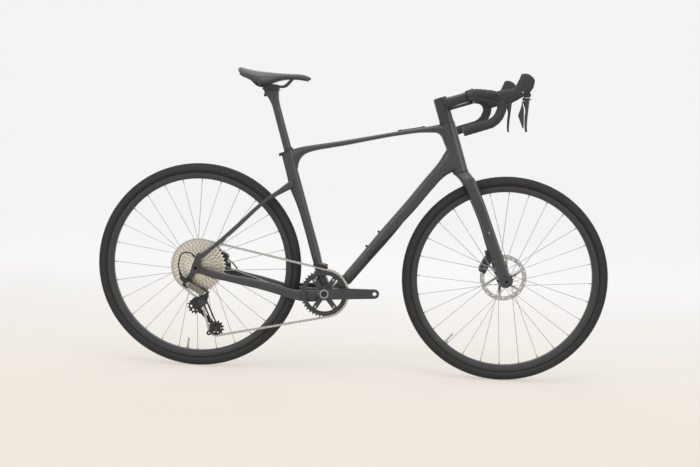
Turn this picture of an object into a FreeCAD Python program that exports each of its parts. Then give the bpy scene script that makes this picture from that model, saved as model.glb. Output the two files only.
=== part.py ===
import FreeCAD, Part
import math
import os

# Gravel bike in millimetres. X is forward, Y is to the rider's left, Z is up.
# Lengths are measured from the ground point below the rear axle.
# The solids are moved to mid wheelbase when they are saved.

V = FreeCAD.Vector
os.makedirs("parts", exist_ok=True)

# Main layout
wheelbase = 1045.0
tyre_radius = 350.0
tyre_width = 40.0
bottom_bracket = (435.1, 280.0)
head_angle = 71.5
head_top = (822.5, 868.0)
head_length = 168.0
head_radius = 26.0
seat_angle = 73.0
rear_spacing = 142.0
front_spacing = 100.0

# Wheels
rim_outer = 317.0
rim_inner = 297.5
rim_half_width = 14.5
rim_wall = 2.0
spoke_count = 28
spoke_radius = 1.0
nipple_radius = 2.0
spoke_cross = 2
flange_hole_radius = 22.0
flange_radius = 25.5
flange_thickness = 3.0
axle_radius = 6.0
rotor_radius = 80.0
rotor_thickness = 1.8
front_flanges = (-33.5, 22.0)
rear_flanges = (-18.5, 32.0)
front_rotor_y = 35.4
rear_rotor_y = 56.6

# Drive
chain_pitch = 12.7
roller_radius = 3.85
gullet_radius = 4.1
tooth_height = 2.6
tooth_tip = 0.8
ring_teeth = 40
ring_y = -49.5
cog_teeth = (45, 40, 36, 32, 28, 24, 21, 18, 16, 14, 12, 10)
cog_first_y = -25.0
cog_pitch = 3.45
cog_thickness = 1.6
pulley_teeth = 13
pulley_spacing = 103.66
straight_start = 30.0
crank_length = 170.0
crank_angle = 3.0
pedal_hole_radius = 6.6
spindle_radius = 12.0
bolt_circle = 110.0
shell_half = 43.0

# Cockpit and seat
bar_radius = 12.0
clamp_radius = 15.9
tape_radius = 15.5
bar_centre = (896.5, 964.5)
hood_y = 210.0
post_radius = 13.6
post_insert = 125.0
rail_radius = 3.5

# Fits and clearances
running_gap = 0.05
slide_gap = 0.05
pin_gap = 0.25
plate_gap = 0.35
body_gap = 0.6
seat_gap = 0.02

left = V(0, 1, 0)
rear_axle = V(0, 0, tyre_radius)
front_axle = V(wheelbase, 0, tyre_radius)
crank_axis = V(bottom_bracket[0], 0, bottom_bracket[1])
tilt = math.radians(90 - head_angle)
steer_up = V(-math.sin(tilt), 0, math.cos(tilt))
steer_ahead = V(math.cos(tilt), 0, math.sin(tilt))
head_high = V(head_top[0], 0, head_top[1])
head_low = head_high - steer_up * head_length
lean = math.radians(90 - seat_angle)
seat_up = V(-math.sin(lean), 0, math.cos(lean))
seat_ahead = V(math.cos(lean), 0, math.sin(lean))


def save(name, *solids):
    shape = solids[0] if len(solids) == 1 else Part.makeCompound(list(solids))
    moved = shape.copy()
    moved.translate(V(-wheelbase / 2, 0, 0))
    moved.exportStep("parts/%s.step" % name)


def rod(start, end, radius):
    return Part.makeCylinder(radius, (end - start).Length, start, end - start)


def ring(start, end, outer, inner):
    return rod(start, end, outer).cut(rod(start, end, inner))


def mirror(shape):
    return shape.mirror(V(0, 0, 0), left)


def spun(shape, centre, axis, degrees):
    turned = shape.copy()
    turned.rotate(centre, axis, degrees)
    return turned


def fuse(first, *others):
    joined = first.multiFuse(list(others))
    return joined.removeSplitter()


def one_solid(shape):
    return max(shape.Solids, key=lambda s: s.Volume)


def smooth_loop(points):
    curve = Part.BSplineCurve()
    curve.interpolate(Points=points, PeriodicFlag=True)
    return Part.Wire(curve.toShape())


def signed_power(value, power):
    return math.copysign(abs(value) ** power, value)


def oval(centre, along, across, power):
    points = []
    for i in range(16):
        turn = math.pi * (2 * i + 1) / 16
        first = signed_power(math.cos(turn), 2 / power)
        second = signed_power(math.sin(turn), 2 / power)
        points.append(centre + along * first + across * second)
    return smooth_loop(points)


def station(upper, lower, y, half_width, power=2.5):
    high = V(upper[0], y, upper[1])
    low = V(lower[0], y, lower[1])
    return oval((high + low) * 0.5, (high - low) * 0.5, V(0, half_width, 0), power)


def slopes(places, values):
    """Monotone slopes, so that a curve through the values never overshoots."""
    steps = [b - a for a, b in zip(places, places[1:])]
    rates = [(b - a) / h for a, b, h in zip(values, values[1:], steps)]
    found = [rates[0]]
    for before, after in zip(rates, rates[1:]):
        found.append(0.0 if before * after <= 0 else 2 * before * after / (before + after))
    return found + [rates[-1]]


def eased(places, values, at):
    """Value of the monotone cubic through the given values."""
    tangents = slopes(places, values)
    k = max(i for i, p in enumerate(places[:-1]) if p <= at or i == 0)
    h = places[k + 1] - places[k]
    t = (at - places[k]) / h
    low = (1 + 2 * t) * (1 - t) ** 2 * values[k] + t * (1 - t) ** 2 * h * tangents[k]
    high = t * t * (3 - 2 * t) * values[k + 1] + t * t * (t - 1) * h * tangents[k + 1]
    return low + high


def skin(stations, spacing=36.0):
    """Smooth solid through stations, resampled evenly along their centres."""
    rows = []
    for upper, lower, y, half_width, *power in stations:
        rows.append((*upper, *lower, y, half_width, power[0] if power else 2.5))
    places = [0.0]
    for a, b in zip(rows, rows[1:]):
        gap = (b[0] + b[2] - a[0] - a[2], b[1] + b[3] - a[1] - a[3], 2 * (b[4] - a[4]))
        places.append(places[-1] + math.hypot(*gap) / 2)
    count = max(len(rows), round(places[-1] / spacing))
    columns = list(zip(*rows))
    wires = []
    for i in range(count + 1):
        at = places[-1] * i / count
        xu, zu, xl, zl, y, half_width, power = [eased(places, c, at) for c in columns]
        wires.append(station((xu, zu), (xl, zl), y, half_width, power))
    return Part.makeLoft(wires, True)


def side_wire(points):
    corners = [V(x, 0, z) for x, z in points]
    return Part.makePolygon(corners + [corners[0]])


def side_plate(points, y_low, y_high):
    face = Part.Face(side_wire(points))
    plate = face.extrude(V(0, y_high - y_low, 0))
    plate.translate(V(0, y_low, 0))
    return plate


def disc(centre, radius, y_low, y_high):
    start = V(centre[0], y_low, centre[1])
    return Part.makeCylinder(radius, y_high - y_low, start, left)


def slot(first, second, radius, y_low, y_high):
    a = V(first[0], 0, first[1])
    b = V(second[0], 0, second[1])
    ahead = (b - a).normalize()
    side = V(-ahead.z, 0, ahead.x)
    far = Part.Arc(b + side * radius, b + ahead * radius, b - side * radius).toShape()
    near = Part.Arc(a - side * radius, a - ahead * radius, a + side * radius).toShape()
    top = Part.makeLine(a + side * radius, b + side * radius)
    low = Part.makeLine(b - side * radius, a - side * radius)
    plate = Part.Face(Part.Wire([top, far, low, near])).extrude(V(0, y_high - y_low, 0))
    plate.translate(V(0, y_low, 0))
    return plate


def tapered_slot(first, second, radius, end_radius, y_low, y_high):
    """Plate around two circles of different size and their tangent lines."""
    a = V(first[0], 0, first[1])
    b = V(second[0], 0, second[1])
    ahead = (b - a).normalize()
    side = V(-ahead.z, 0, ahead.x)
    lean_in = math.asin((radius - end_radius) / (b - a).Length)
    high = side * math.cos(lean_in) + ahead * math.sin(lean_in)
    low = side * -math.cos(lean_in) + ahead * math.sin(lean_in)
    far = Part.Arc(b + high * end_radius, b + ahead * end_radius, b + low * end_radius).toShape()
    near = Part.Arc(a + low * radius, a - ahead * radius, a + high * radius).toShape()
    top = Part.makeLine(a + high * radius, b + high * end_radius)
    base = Part.makeLine(b + low * end_radius, a + low * radius)
    plate = Part.Face(Part.Wire([top, far, base, near])).extrude(V(0, y_high - y_low, 0))
    plate.translate(V(0, y_low, 0))
    return plate


def box_between(low, high):
    size = high - low
    return Part.makeBox(size.x, size.y, size.z, low)


def rounded_path(points, radii):
    edges = []
    start = points[0]
    for i, radius in enumerate(radii, 1):
        corner = points[i]
        back = (points[i - 1] - corner).normalize()
        ahead = (points[i + 1] - corner).normalize()
        half = back.getAngle(ahead) / 2
        first = corner + back * (radius / math.tan(half))
        last = corner + ahead * (radius / math.tan(half))
        inward = (back + ahead).normalize()
        middle = corner + inward * (radius / math.sin(half) - radius)
        edges.append(Part.makeLine(start, first))
        edges.append(Part.Arc(first, middle, last).toShape())
        start = last
    edges.append(Part.makeLine(start, points[-1]))
    return Part.Wire(edges)


def pipe(path, radius):
    first = path.Edges[0]
    start = first.valueAt(first.FirstParameter)
    heading = first.tangentAt(first.FirstParameter)
    face = Part.Face(Part.Wire(Part.makeCircle(radius, start, heading)))
    return path.makePipe(face)


def turned_profile(points, centre):
    """Turn (y, radius) points about the wheel axis through a centre."""
    corners = [centre + V(0, y, r) for y, r in points]
    face = Part.Face(Part.makePolygon(corners + [corners[0]]))
    return face.revolve(centre, left, 360)


def polar(radius, angle):
    """Point of the side view at a radius and an angle in radians."""
    return V(radius * math.cos(angle), 0, radius * math.sin(angle))


# Frame moulding
bore_long = shell_half + 20
shell = rod(crank_axis - left * shell_half, crank_axis + left * shell_half, 26.0)
head_tube = rod(head_low, head_high, head_radius)
top_tube = skin([
    ((296, 757.5), (322, 690), 0, 15),
    ((310, 762), (326, 706), 0, 16),
    ((325, 767), (333, 728), 0, 16.5),
    ((345, 772.5), (350, 746), 0, 17),
    ((375, 778.5), (378, 757.5), 0, 17.5),
    ((473, 797.5), (474, 778.5), 0, 18.5),
    ((661, 837.5), (662, 821.5), 0, 20.5),
    ((743, 854), (744, 834.5), 0, 22),
    ((775, 861), (777, 835.8), 0, 22.5),
    ((793, 864.5), (800, 832.5), 0, 22.5),
    ((803, 866), (809, 817), 0, 22),
    ((811, 867), (816.5, 797), 0, 21),
    ((832, 866), (838, 782), 0, 18),
], 18)
down_tube = skin([
    ((447, 283), (478, 259), 0, 36, 3),
    ((491.4, 335.6), (519, 314), 0, 29, 3),
    ((620.6, 504.1), (650.6, 480), 0, 26, 3),
    ((700, 604.4), (733, 578), 0, 26, 3),
    ((749.6, 671), (781, 641), 0, 26, 3),
    ((786, 718), (820, 687), 0, 25.5, 2.8),
    ((804, 743), (845, 705), 0, 25, 2.6),
    ((815, 764), (864, 714), 0, 24.5, 2.5),
    ((834, 796), (884, 742), 0, 20, 2.4),
], 24)
seat_tube = skin([
    ((456, 290), (415, 279), 0, 38, 3),
    ((425, 365), (396, 356), 0, 27, 2.8),
    ((412, 414), (381, 404.5), 0, 21.5),
    ((387, 494), (357, 484), 0, 18.5),
    ((361.7, 575), (329, 565), 0, 18),
    ((340, 645), (299, 633), 0, 18.5),
    ((323, 700), (283, 690), 0, 18.5),
    ((312.5, 740), (271.5, 729), 0, 18),
    ((305, 766), (264, 755), 0, 17.5),
])
seat_foot = crank_axis + seat_up * 320
seat_mouth = crank_axis + seat_up * 530
top_cut = side_plate([(262, 733.5), (310, 766), (310, 800), (250, 800), (250, 733.5)], -40, 40)
frame_bores = [
    top_cut,
    rod(seat_foot, seat_mouth, post_radius + slide_gap),
    rod(head_low - steer_up, head_high + steer_up, 18.0),
    rod(head_low - steer_up, head_low + steer_up * 9, 22.0),
    rod(head_high - steer_up * 9, head_high + steer_up, 22.0),
    rod(head_high, head_high + steer_up * 30, head_radius - 0.8),
    rod(head_low - steer_up * 30, head_low, head_radius + 8),
    rod(crank_axis - left * bore_long, crank_axis + left * bore_long, 20.5),
]

# Threaded inserts for two bottle cages, 64 mm apart
boss_radius = 4.0
boss_hole = 2.1
boss_depth = 14.0
down_line = V(129.2, 0, 168.5).normalize()
down_normal = V(-down_line.z, 0, down_line.x)
down_boss = V(571.3, 0, 441.3)
seat_normal = V(math.cos(lean), 0, math.sin(lean))
seat_boss = V(410.5, 0, 397.0)
boss_seats = [
    (down_boss, down_normal),
    (down_boss + down_line * 64.0, down_normal),
    (seat_boss, seat_normal),
    (seat_boss + seat_up * 64.0, seat_normal),
]
bosses = []
for foot, normal in boss_seats:
    inner = foot - normal * boss_depth
    outer = foot + normal * 2.0
    frame_bores.append(rod(inner, outer + normal * 30, boss_radius))
    bosses.append(ring(inner, outer, boss_radius, boss_hole))
save("bottle_bosses", *bosses)

# The tubes stay separate solids that meet face to face
whole_tubes = [shell, head_tube, seat_tube, down_tube, top_tube]
tubes = []
for i, tube in enumerate(whole_tubes):
    for cutter in whole_tubes[:i] + frame_bores:
        tube = one_solid(tube.cut(cutter))
    tubes.append(tube)
frame = Part.makeCompound(tubes)

# Guards: down tube strip, top tube cover and chain guide
guard = skin([
    ((483, 330), (520, 309.5), 0, 27, 3),
    ((549, 416), (586.5, 393.5), 0, 26.5, 3),
    ((620.6, 509), (654, 477.5), 0, 25, 3),
    ((652, 545), (689, 524.5), 0, 22, 3),
])
guard_half = side_plate([(486, 296), (536, 296), (715, 524), (682, 552)], -60, 60)
guard = one_solid(guard.common(guard_half).cut(frame))
cover_low = V(666, 0, 838)
cover_shape = fuse(
    disc((0, 0), 8, 0, 4.0),
    disc((79, 0), 8, 0, 4.0),
    box_between(V(0, 0, -8), V(79, 4, 8)),
)
cover_shape.rotate(V(0, 0, 0), V(1, 0, 0), 90)
cover_shape.rotate(V(0, 0, 0), V(0, -1, 0), 11.2)
cover_shape.translate(cover_low - V(0, 0, 1.5))
cover = one_solid(cover_shape.cut(frame))
guide_roof = slot((400, 380), (438, 373), 3.5, -57, -16)
guide_lip = slot((400, 377), (438, 370), 6, -57, -55)
guide = one_solid(fuse(guide_roof, guide_lip).cut(frame))
save("frame_guards", guard, cover, guide)

# Rear stays with dropouts
axle_plate_inner = rear_spacing / 2
axle_plate_outer = axle_plate_inner + 8
stay_loft = skin([
    ((4, 362), (0, 334), 75, 4),
    ((31, 352), (26, 327), 75, 5),
    ((70, 341), (65, 316), 73, 6.5),
    ((111, 331.5), (105, 307.5), 66, 7.5),
    ((165, 322), (160, 294.5), 54, 8.5),
    ((218, 313), (216, 282), 44, 8.5),
    ((270, 301.5), (272, 267), 36.5, 8),
    ((320, 289), (327, 252.5), 34.5, 7.5),
    ((370, 284), (375, 245), 33, 8.5),
    ((418, 290), (421, 252), 30, 10),
])
dropout = fuse(
    disc((0, 350), 15, axle_plate_inner, axle_plate_outer),
    tapered_slot((2, 356), (9, 392), 15, 8.5, axle_plate_inner, axle_plate_outer),
    slot((2, 346), (26, 340), 12, axle_plate_inner, axle_plate_outer),
)
chainstay = fuse(stay_loft, dropout)
axle_clear = box_between(V(-30, 50, 320), V(30, axle_plate_inner, 400))
chainstay = one_solid(chainstay.cut(axle_clear).cut(frame))
chainstay = chainstay.cut(disc((0, 350), axle_radius + seat_gap, 60, 90))
seat_loft = skin([
    ((4, 396), (20, 382), 75, 4),
    ((35, 415), (45, 404.5), 73.5, 5.5),
    ((110, 483.4), (117, 474), 62, 6.5),
    ((212, 583), (219, 573), 45, 7),
    ((262, 622), (271, 607), 33, 8),
    ((308, 659), (318, 632), 18, 9),
])
seatstay = one_solid(seat_loft.cut(chainstay).cut(frame))
save("frame", *tubes)
save("chainstays", mirror(chainstay), chainstay)
save("seatstays", mirror(seatstay), seatstay)

# Seat clamp collar that follows the slanted top of the seat tube
slant = V(48.0, 0, 32.5).normalize()
slant_up = V(-slant.z, 0, slant.x)
collar_centre = V(284.2, 0, 748.6)
collar_wire = oval(collar_centre, slant * 26.5, V(0, 19.5, 0), 2.4)
collar = Part.Face(collar_wire).extrude(slant_up * 6.5)
ear = slot((270, 744), (263.5, 741), 4.5, -8, 8)
collar = fuse(collar, ear).cut(rod(seat_foot, seat_mouth, post_radius + slide_gap))
collar = collar.cut(box_between(V(240, -0.8, 715), V(278, 0.8, 770)))
collar = one_solid(collar.cut(frame))
save("seat_clamp", collar)

# Seatpost and saddle
post_mouth = 482.0
post_low = crank_axis + seat_up * (post_mouth - post_insert)
post_high = crank_axis + seat_up * 693.0
post = rod(post_low, post_high, post_radius)
head_block = side_plate([(206, 944), (246, 944), (252, 956), (201, 956)], -14, 14)
post = fuse(post, head_block)
post = one_solid(post.cut(rod(post_low, post_high - seat_up * 22, post_radius - 2)))
rail_y = 22.0
rail_line = [
    V(304, 13, 1004),
    V(272, rail_y, 968.5),
    V(182, rail_y, 968.5),
    V(156, 33, 992),
]
rail = pipe(rounded_path(rail_line, [22, 18]), rail_radius)
cradle = side_plate([(198, 956), (255, 956), (250, 968.5), (203, 968.5)], -29, 29)
yoke = side_plate([(203, 968.5), (250, 968.5), (246, 975), (207, 975)], -29, 29)
rail_bore = rod(V(180, rail_y, 968.5), V(275, rail_y, 968.5), rail_radius + slide_gap)
rail_bores = [rail_bore, mirror(rail_bore)]
cradle = cradle.cut(rail_bores[0]).cut(rail_bores[1])
yoke = yoke.cut(rail_bores[0]).cut(rail_bores[1])
clamp_bolts = []
for x in (206.0, 247.0):
    shank = rod(V(x, 0, 938), V(x, 0, 975), 2.5)
    knob = rod(V(x, 0, 934), V(x, 0, 944), 4.5)
    cradle = cradle.cut(rod(V(x, 0, 930), V(x, 0, 980), 2.5 + seat_gap))
    yoke = yoke.cut(rod(V(x, 0, 930), V(x, 0, 980), 2.5 + seat_gap))
    post = post.cut(rod(V(x, 0, 925), V(x, 0, 980), 4.5 + seat_gap))
    clamp_bolts.append(fuse(shank, knob))
save("seatpost", one_solid(post))
save("saddle_clamp", cradle, yoke, *clamp_bolts)

saddle_line = [
    (117.5, 42, 1025, 1015),
    (125, 60, 1028, 1006),
    (145, 69.5, 1024.5, 995),
    (170, 71, 1020.5, 984),
    (193, 66, 1018, 975.5),
    (217, 53, 1016, 980),
    (247, 36.5, 1014, 991),
    (288, 25, 1013, 998),
    (330, 20.5, 1012.5, 996.5),
    (350, 14.5, 1007, 993.5),
    (358.5, 6, 1001.5, 996),
]


def saddle_section(x, half, top, edge, drop=0.0, narrow=1.0):
    tall = top - edge
    under = max(edge + 2, top - 21)
    w = half * narrow
    shape = [
        (0, top), (0.45, top - 0.04 * tall), (0.8, top - 0.2 * tall),
        (0.98, top - 0.5 * tall), (1.0, top - 0.8 * tall), (0.93, edge),
        (0.82, edge + 0.05 * tall), (0.55, (edge + under) / 2 + 0.1 * tall),
    ]
    right_side = [V(x, w * a, z - drop) for a, z in shape]
    left_side = [V(x, -w * a, z - drop) for a, z in reversed(shape[1:])]
    return smooth_loop(right_side + [V(x, 0, under - drop)] + left_side)


cover_loft = Part.makeLoft([saddle_section(*s) for s in saddle_line], True)
base_loft = Part.makeLoft([saddle_section(*s, 4.0, 0.94) for s in saddle_line[1:-1]], True)
rails = [rail, mirror(rail)]
saddle_shell = base_loft.cut(cover_loft)
for bar in rails:
    saddle_shell = saddle_shell.cut(bar)
    cover_loft = cover_loft.cut(bar)
save("saddle_cover", one_solid(cover_loft))
save("saddle_base", one_solid(saddle_shell), *rails)

# Headset, fork and steerer
crown_top = head_low - steer_up * body_gap
steerer_top = head_high + steer_up * 84.5
upper_bearing = ring(head_high - steer_up * 9, head_high, 22.0, 14.3 + running_gap)
lower_bearing = ring(head_low, head_low + steer_up * 9, 22.0, 17.0 + running_gap)
save("headset_bearings", upper_bearing, lower_bearing)


def crown_station(depth, fore_aft, lateral, shift, power):
    centre = crown_top - steer_up * depth + steer_ahead * shift
    return oval(centre, steer_ahead * fore_aft, V(0, lateral, 0), power)


crown = Part.makeLoft([
    crown_station(0, 25.0, 25.0, 0, 2),
    crown_station(10, 23.6, 29, 5.0, 2.2),
    crown_station(21, 22.7, 36, 10.5, 2.4),
    crown_station(35, 22.5, 45, 15.5, 2.6),
    crown_station(52, 21.5, 49.5, 18.5, 2.8),
], True)
fork_leg = skin([
    ((918, 694), (876, 679), 33, 13, 2.6),
    ((927, 678), (888, 664), 37, 13, 2.6),
    ((949, 631.7), (913, 618), 40.5, 11.5, 2.6),
    ((983, 550), (951, 538), 45.5, 10, 2.6),
    ((1014.7, 469.5), (981, 456), 50.5, 9, 2.6),
    ((1038.7, 411.3), (1004, 397), 55, 8.5, 2.6),
    ((1055, 367), (1021, 353), 57.5, 7.5, 2.6),
    ((1062, 345), (1030, 334), 58, 7, 2.6),
])
leg_end = disc((wheelbase, 350), 19.5, front_spacing / 2, 64)
fork = fuse(crown, fork_leg, mirror(fork_leg), leg_end, mirror(leg_end))
wheel_room = disc((wheelbase, 350), 361, -28, 28)
fork = fork.cut(wheel_room)
end_room = disc((wheelbase, 350), 26, -front_spacing / 2, front_spacing / 2)
fork = fork.cut(end_room)
steerer = rod(crown_top - steer_up * 2, steerer_top, 14.3)
steerer_foot = rod(crown_top - steer_up * 2, head_low + steer_up * 9, 17.0)
steerer_bore = rod(crown_top + steer_up * 12, steerer_top + steer_up, 12.0)
fork = fuse(fork, steerer, steerer_foot).cut(steerer_bore)
fork = fork.cut(disc((wheelbase, 350), axle_radius + seat_gap, -80, 80))
for low, high in ((-80, -64), (64, 80)):
    fork = fork.cut(disc((wheelbase, 350), 10.0, low, high))
fork_eyes = [(972.1, 503.1), (1036.1, 370.0)]
for x, z in fork_eyes:
    fork = fork.cut(disc((x, z), 2.1, 51, 80)).cut(disc((x, z), 2.1, -80, -51))
fork = one_solid(fork)
save("fork", fork)

# Headset cover, spacers, top cap
stack = []
level = body_gap
for height, outer in ((12.0, 24.2), (11.3, 23.5), (11.3, 23.5), (11.3, 23.5)):
    foot = head_high + steer_up * level
    top = foot + steer_up * height
    stack.append(ring(foot, top, outer, 14.3 + seat_gap))
    level += height
stem_foot = level
stem_tall = 40.0
cap_foot = head_high + steer_up * (stem_foot + stem_tall)
cap = rod(cap_foot, cap_foot + steer_up * 4, 21.0)
plug = rod(cap_foot - steer_up * 34, cap_foot, 12.0 - seat_gap)
top_cap = fuse(cap, plug)
save("headset_stack", *stack, top_cap)

# Stem with a split front clamp
clamp = V(bar_centre[0], 0, bar_centre[1])
stem_low = head_high + steer_up * stem_foot
stem_middle = stem_low + steer_up * 21
reach = (clamp - stem_middle).normalize()
rise = V(-reach.z, 0, reach.x)
stem_body = rod(stem_low, stem_low + steer_up * stem_tall, 23.5)
extension = Part.makeLoft([
    oval(stem_middle + reach * 2, rise * 18.5, V(0, 20, 0), 3.5),
    oval(stem_middle + reach * 40, rise * 17.5, V(0, 18.5, 0), 3.2),
    oval(stem_middle + reach * 72, rise * 17, V(0, 18.5, 0), 3.2),
    oval(clamp - reach * 4, rise * 19, V(0, 22, 0), 4),
], True)
front_ring = rod(clamp - left * 22, clamp + left * 22, 20.5)
stem = fuse(stem_body, extension, front_ring)
stem = stem.cut(rod(clamp - left * 40, clamp + left * 40, clamp_radius))
stem = stem.cut(rod(stem_low - steer_up * 5, cap_foot + steer_up * 5, 14.3 + seat_gap))
stem = stem.cut(rod(cap_foot, cap_foot + steer_up * 30, 21.3))
split = clamp + reach * 1.0
front_half = Part.makeBox(60, 80, 80, V(0, -40, -40))
front_half.rotate(V(0, 0, 0), left, -math.degrees(math.atan2(reach.z, reach.x)))
front_half.translate(split)
plate_half = front_half.copy()
plate_half.translate(reach * 1.5)
faceplate = front_ring.cut(rod(clamp - left * 40, clamp + left * 40, clamp_radius))
faceplate = one_solid(faceplate.common(plate_half))
stem = one_solid(stem.cut(front_half))
bolts = []
for y in (-14.0, 14.0):
    for side in (-18.2, 18.2):
        seat = clamp + rise * side + V(0, y, 0)
        shank = rod(seat - reach * 14, seat + reach * 9.5, 2.0)
        head = rod(seat + reach * 7.0, seat + reach * 12.0, 3.8)
        bolt_room = rod(seat - reach * 14, seat + reach * 20, 2.0 + seat_gap)
        stem = stem.cut(bolt_room)
        faceplate = faceplate.cut(bolt_room)
        faceplate = faceplate.cut(rod(seat + reach * 7.0, seat + reach * 20, 3.8 + seat_gap))
        bolts.append(fuse(shank, head))
save("stem", one_solid(stem))
save("stem_faceplate", one_solid(faceplate), *bolts)

# Handlebar and tape on one rounded path
bar_x, bar_z = bar_centre
bar_line = [
    V(bar_x, 0, bar_z),
    V(bar_x, hood_y - 1, bar_z),
    V(991, hood_y + 2, 957),
    V(962, hood_y + 16, 878),
    V(862, hood_y + 22, 844),
]
bar_bends = [42, 37, 58]
bar_path = rounded_path(bar_line, bar_bends)
half_bar = pipe(bar_path, bar_radius)
middle_bar = rod(clamp, clamp + left * 34, clamp_radius)
shoulder = Part.makeCone(clamp_radius, bar_radius, 16, clamp + left * 34, left)
half_bar = fuse(half_bar, middle_bar, shoulder)
bar = fuse(half_bar, mirror(half_bar))
save("handlebar", one_solid(bar))
tape_line = [V(bar_x, 52, bar_z)] + bar_line[1:]
tape_path = rounded_path(tape_line, bar_bends)
tape = pipe(tape_path, tape_radius).cut(pipe(bar_path, bar_radius))
bar_end = bar_line[-1]
bar_out = (bar_line[-1] - bar_line[-2]).normalize()
plug = rod(bar_end, bar_end + bar_out * 3, tape_radius - 0.5)
save("bar_tape", one_solid(tape), one_solid(mirror(tape)), plug, mirror(plug))

# Lever brackets and hoods
tape_room = pipe(bar_path, tape_radius)
hood_shape = skin([
    ((947, 973.5), (990, 930), hood_y + 2, 17.5, 2.6),
    ((979, 978), (1011, 941), hood_y + 2, 17, 2.6),
    ((1007, 984), (1035, 954), hood_y + 2, 16, 2.6),
    ((1022, 1002), (1062, 970), hood_y + 2, 15, 2.6),
    ((1029, 1021), (1074, 997), hood_y + 2, 13.5, 2.4),
    ((1042, 1030), (1073, 1014), hood_y + 2, 10.5, 2.2),
    ((1053, 1031), (1065, 1024), hood_y + 2, 5, 2),
])
bracket = skin([
    ((974, 972), (1005, 945), hood_y + 2, 13, 2.6),
    ((1005, 978), (1030, 958), hood_y + 2, 12.5, 2.6),
    ((1024, 994), (1056, 975), hood_y + 2, 11.5, 2.6),
    ((1032, 1014), (1068, 997), hood_y + 2, 10, 2.4),
    ((1043, 1023), (1065, 1013), hood_y + 2, 7, 2.2),
])
pivot = (1038.0, 972.0)
lever_gap = (hood_y - 6.4, hood_y + 10.4)
lever_corners = [(1025, 960), (1037, 984), (1099, 986), (1099, 924), (1043, 924)]
lever_room = fuse(side_plate(lever_corners, *lever_gap), disc(pivot, 7.8, *lever_gap))
hood = hood_shape.cut(bracket).cut(tape_room).cut(lever_room)
hood = one_solid(hood)
bracket = bracket.cut(tape_room).cut(lever_room)
pivot_pin = disc(pivot, 2.5, hood_y - 12, hood_y + 16)
bracket = one_solid(bracket).cut(pivot_pin)
hood = hood.cut(pivot_pin)
bracket = fuse(bracket, pivot_pin)
hood = one_solid(hood.cut(bracket))
save("left_hood", hood)
save("right_hood", mirror(hood))
save("lever_brackets", mirror(one_solid(bracket)), one_solid(bracket))

# Brake levers: a pivot block with a curved blade
blade = skin([
    ((1063, 960), (1045, 954), hood_y + 2, 5.5, 2.6),
    ((1062, 946), (1043, 942), hood_y + 2, 6.5, 2.6),
    ((1060.5, 924), (1050, 920), hood_y + 3, 7, 2.6),
    ((1058.5, 891), (1049.5, 889), hood_y + 6, 7, 2.6),
    ((1058, 866), (1050.5, 864), hood_y + 9, 6.5, 2.6),
    ((1060, 851), (1054, 849), hood_y + 11, 4.5, 2.2),
])
block = tapered_slot(pivot, (1056, 965), 7.0, 9.0, hood_y - 5.4, hood_y + 9.4)
block = block.cut(disc(pivot, 2.5 + running_gap, hood_y - 20, hood_y + 30))
neck = slot((1053, 962), (1055, 956), 6.5, hood_y - 4.0, hood_y + 8.0)
left_lever = one_solid(fuse(block, neck, blade))
save("left_brake_lever", left_lever)
swing_y = -hood_y - 2
swing_z = 952.0


def swing_rod(x_low, x_high, radius):
    """Round bar on the axis about which the right blade and paddle swing."""
    return rod(V(x_low, swing_y, swing_z), V(x_high, swing_y, swing_z), radius)


fork_top = fuse(mirror(block), mirror(neck))
fork_gap = box_between(V(1029, -hood_y - 20, 924), V(1079, -hood_y + 20, 957.5))
yoke_lug = box_between(V(1045, -hood_y - 6, 951), V(1048, -hood_y + 2, 963))
yoke_lug = fuse(yoke_lug, swing_rod(1045, 1048, 5.0))
right_yoke = fuse(fork_top.cut(fork_gap), yoke_lug, swing_rod(1040.5, 1067, 2.0))
save("right_lever_yoke", one_solid(right_yoke))
blade_trim = box_between(V(1019, -hood_y - 30, 955.9), V(1079, -hood_y + 30, 984))
right_blade = mirror(blade).cut(blade_trim)
right_blade = right_blade.cut(swing_rod(1039, 1048.4, 8.5))
right_blade = right_blade.cut(swing_rod(1039, 1079, 2.0 + running_gap))
save("right_brake_lever", one_solid(right_blade))
paddle_eye = swing_rod(1040.6, 1044.6, 5.0)
paddle_points = [
    (1040.0, 949), (1041.6, 949), (1041.0, 938), (1045.6, 920), (1047.2, 890),
    (1048.0, 862), (1045.0, 861), (1028.4, 900.5), (1036.0, 925),
]
paddle = side_plate(paddle_points, -hood_y - 9.0, -hood_y - 5.6)
paddle_web = box_between(V(1040.0, -hood_y - 9.0, 945), V(1041.6, -hood_y - 1, 949))
paddle = fuse(paddle, paddle_web, paddle_eye)
paddle = paddle.cut(swing_rod(1029, 1059, 2.0 + running_gap))
save("right_shift_lever", one_solid(paddle))

# Hoses from the bar, under the stem, into the spacer stack
hoses = []
for i, y in enumerate((-30.0, -38.0, 30.0)):
    side = -1 if y < 0 else 1
    inner_y = (-9.0, 0.0, 9.0)[i]
    drop = (0.0, 4.0, 0.0)[i]
    hose_line = [
        V(bar_x + 3, side * 75.0, bar_z - tape_radius - 3.1),
        V(bar_x + 3 + drop, y, bar_z - tape_radius - 5.0 - drop),
        stem_middle + reach * 58 - rise * (20.7 + drop) + V(0, inner_y, 0),
        stem_middle + reach * 17 - rise * (20.7 + drop) + V(0, inner_y, 0),
    ]
    hoses.append(pipe(rounded_path(hose_line, [18, 20]), 2.6))
hose_solids = [one_solid(h.cut(stem).cut(Part.makeCompound(stack))) for h in hoses]
save("cockpit_hoses", *hose_solids)


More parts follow.
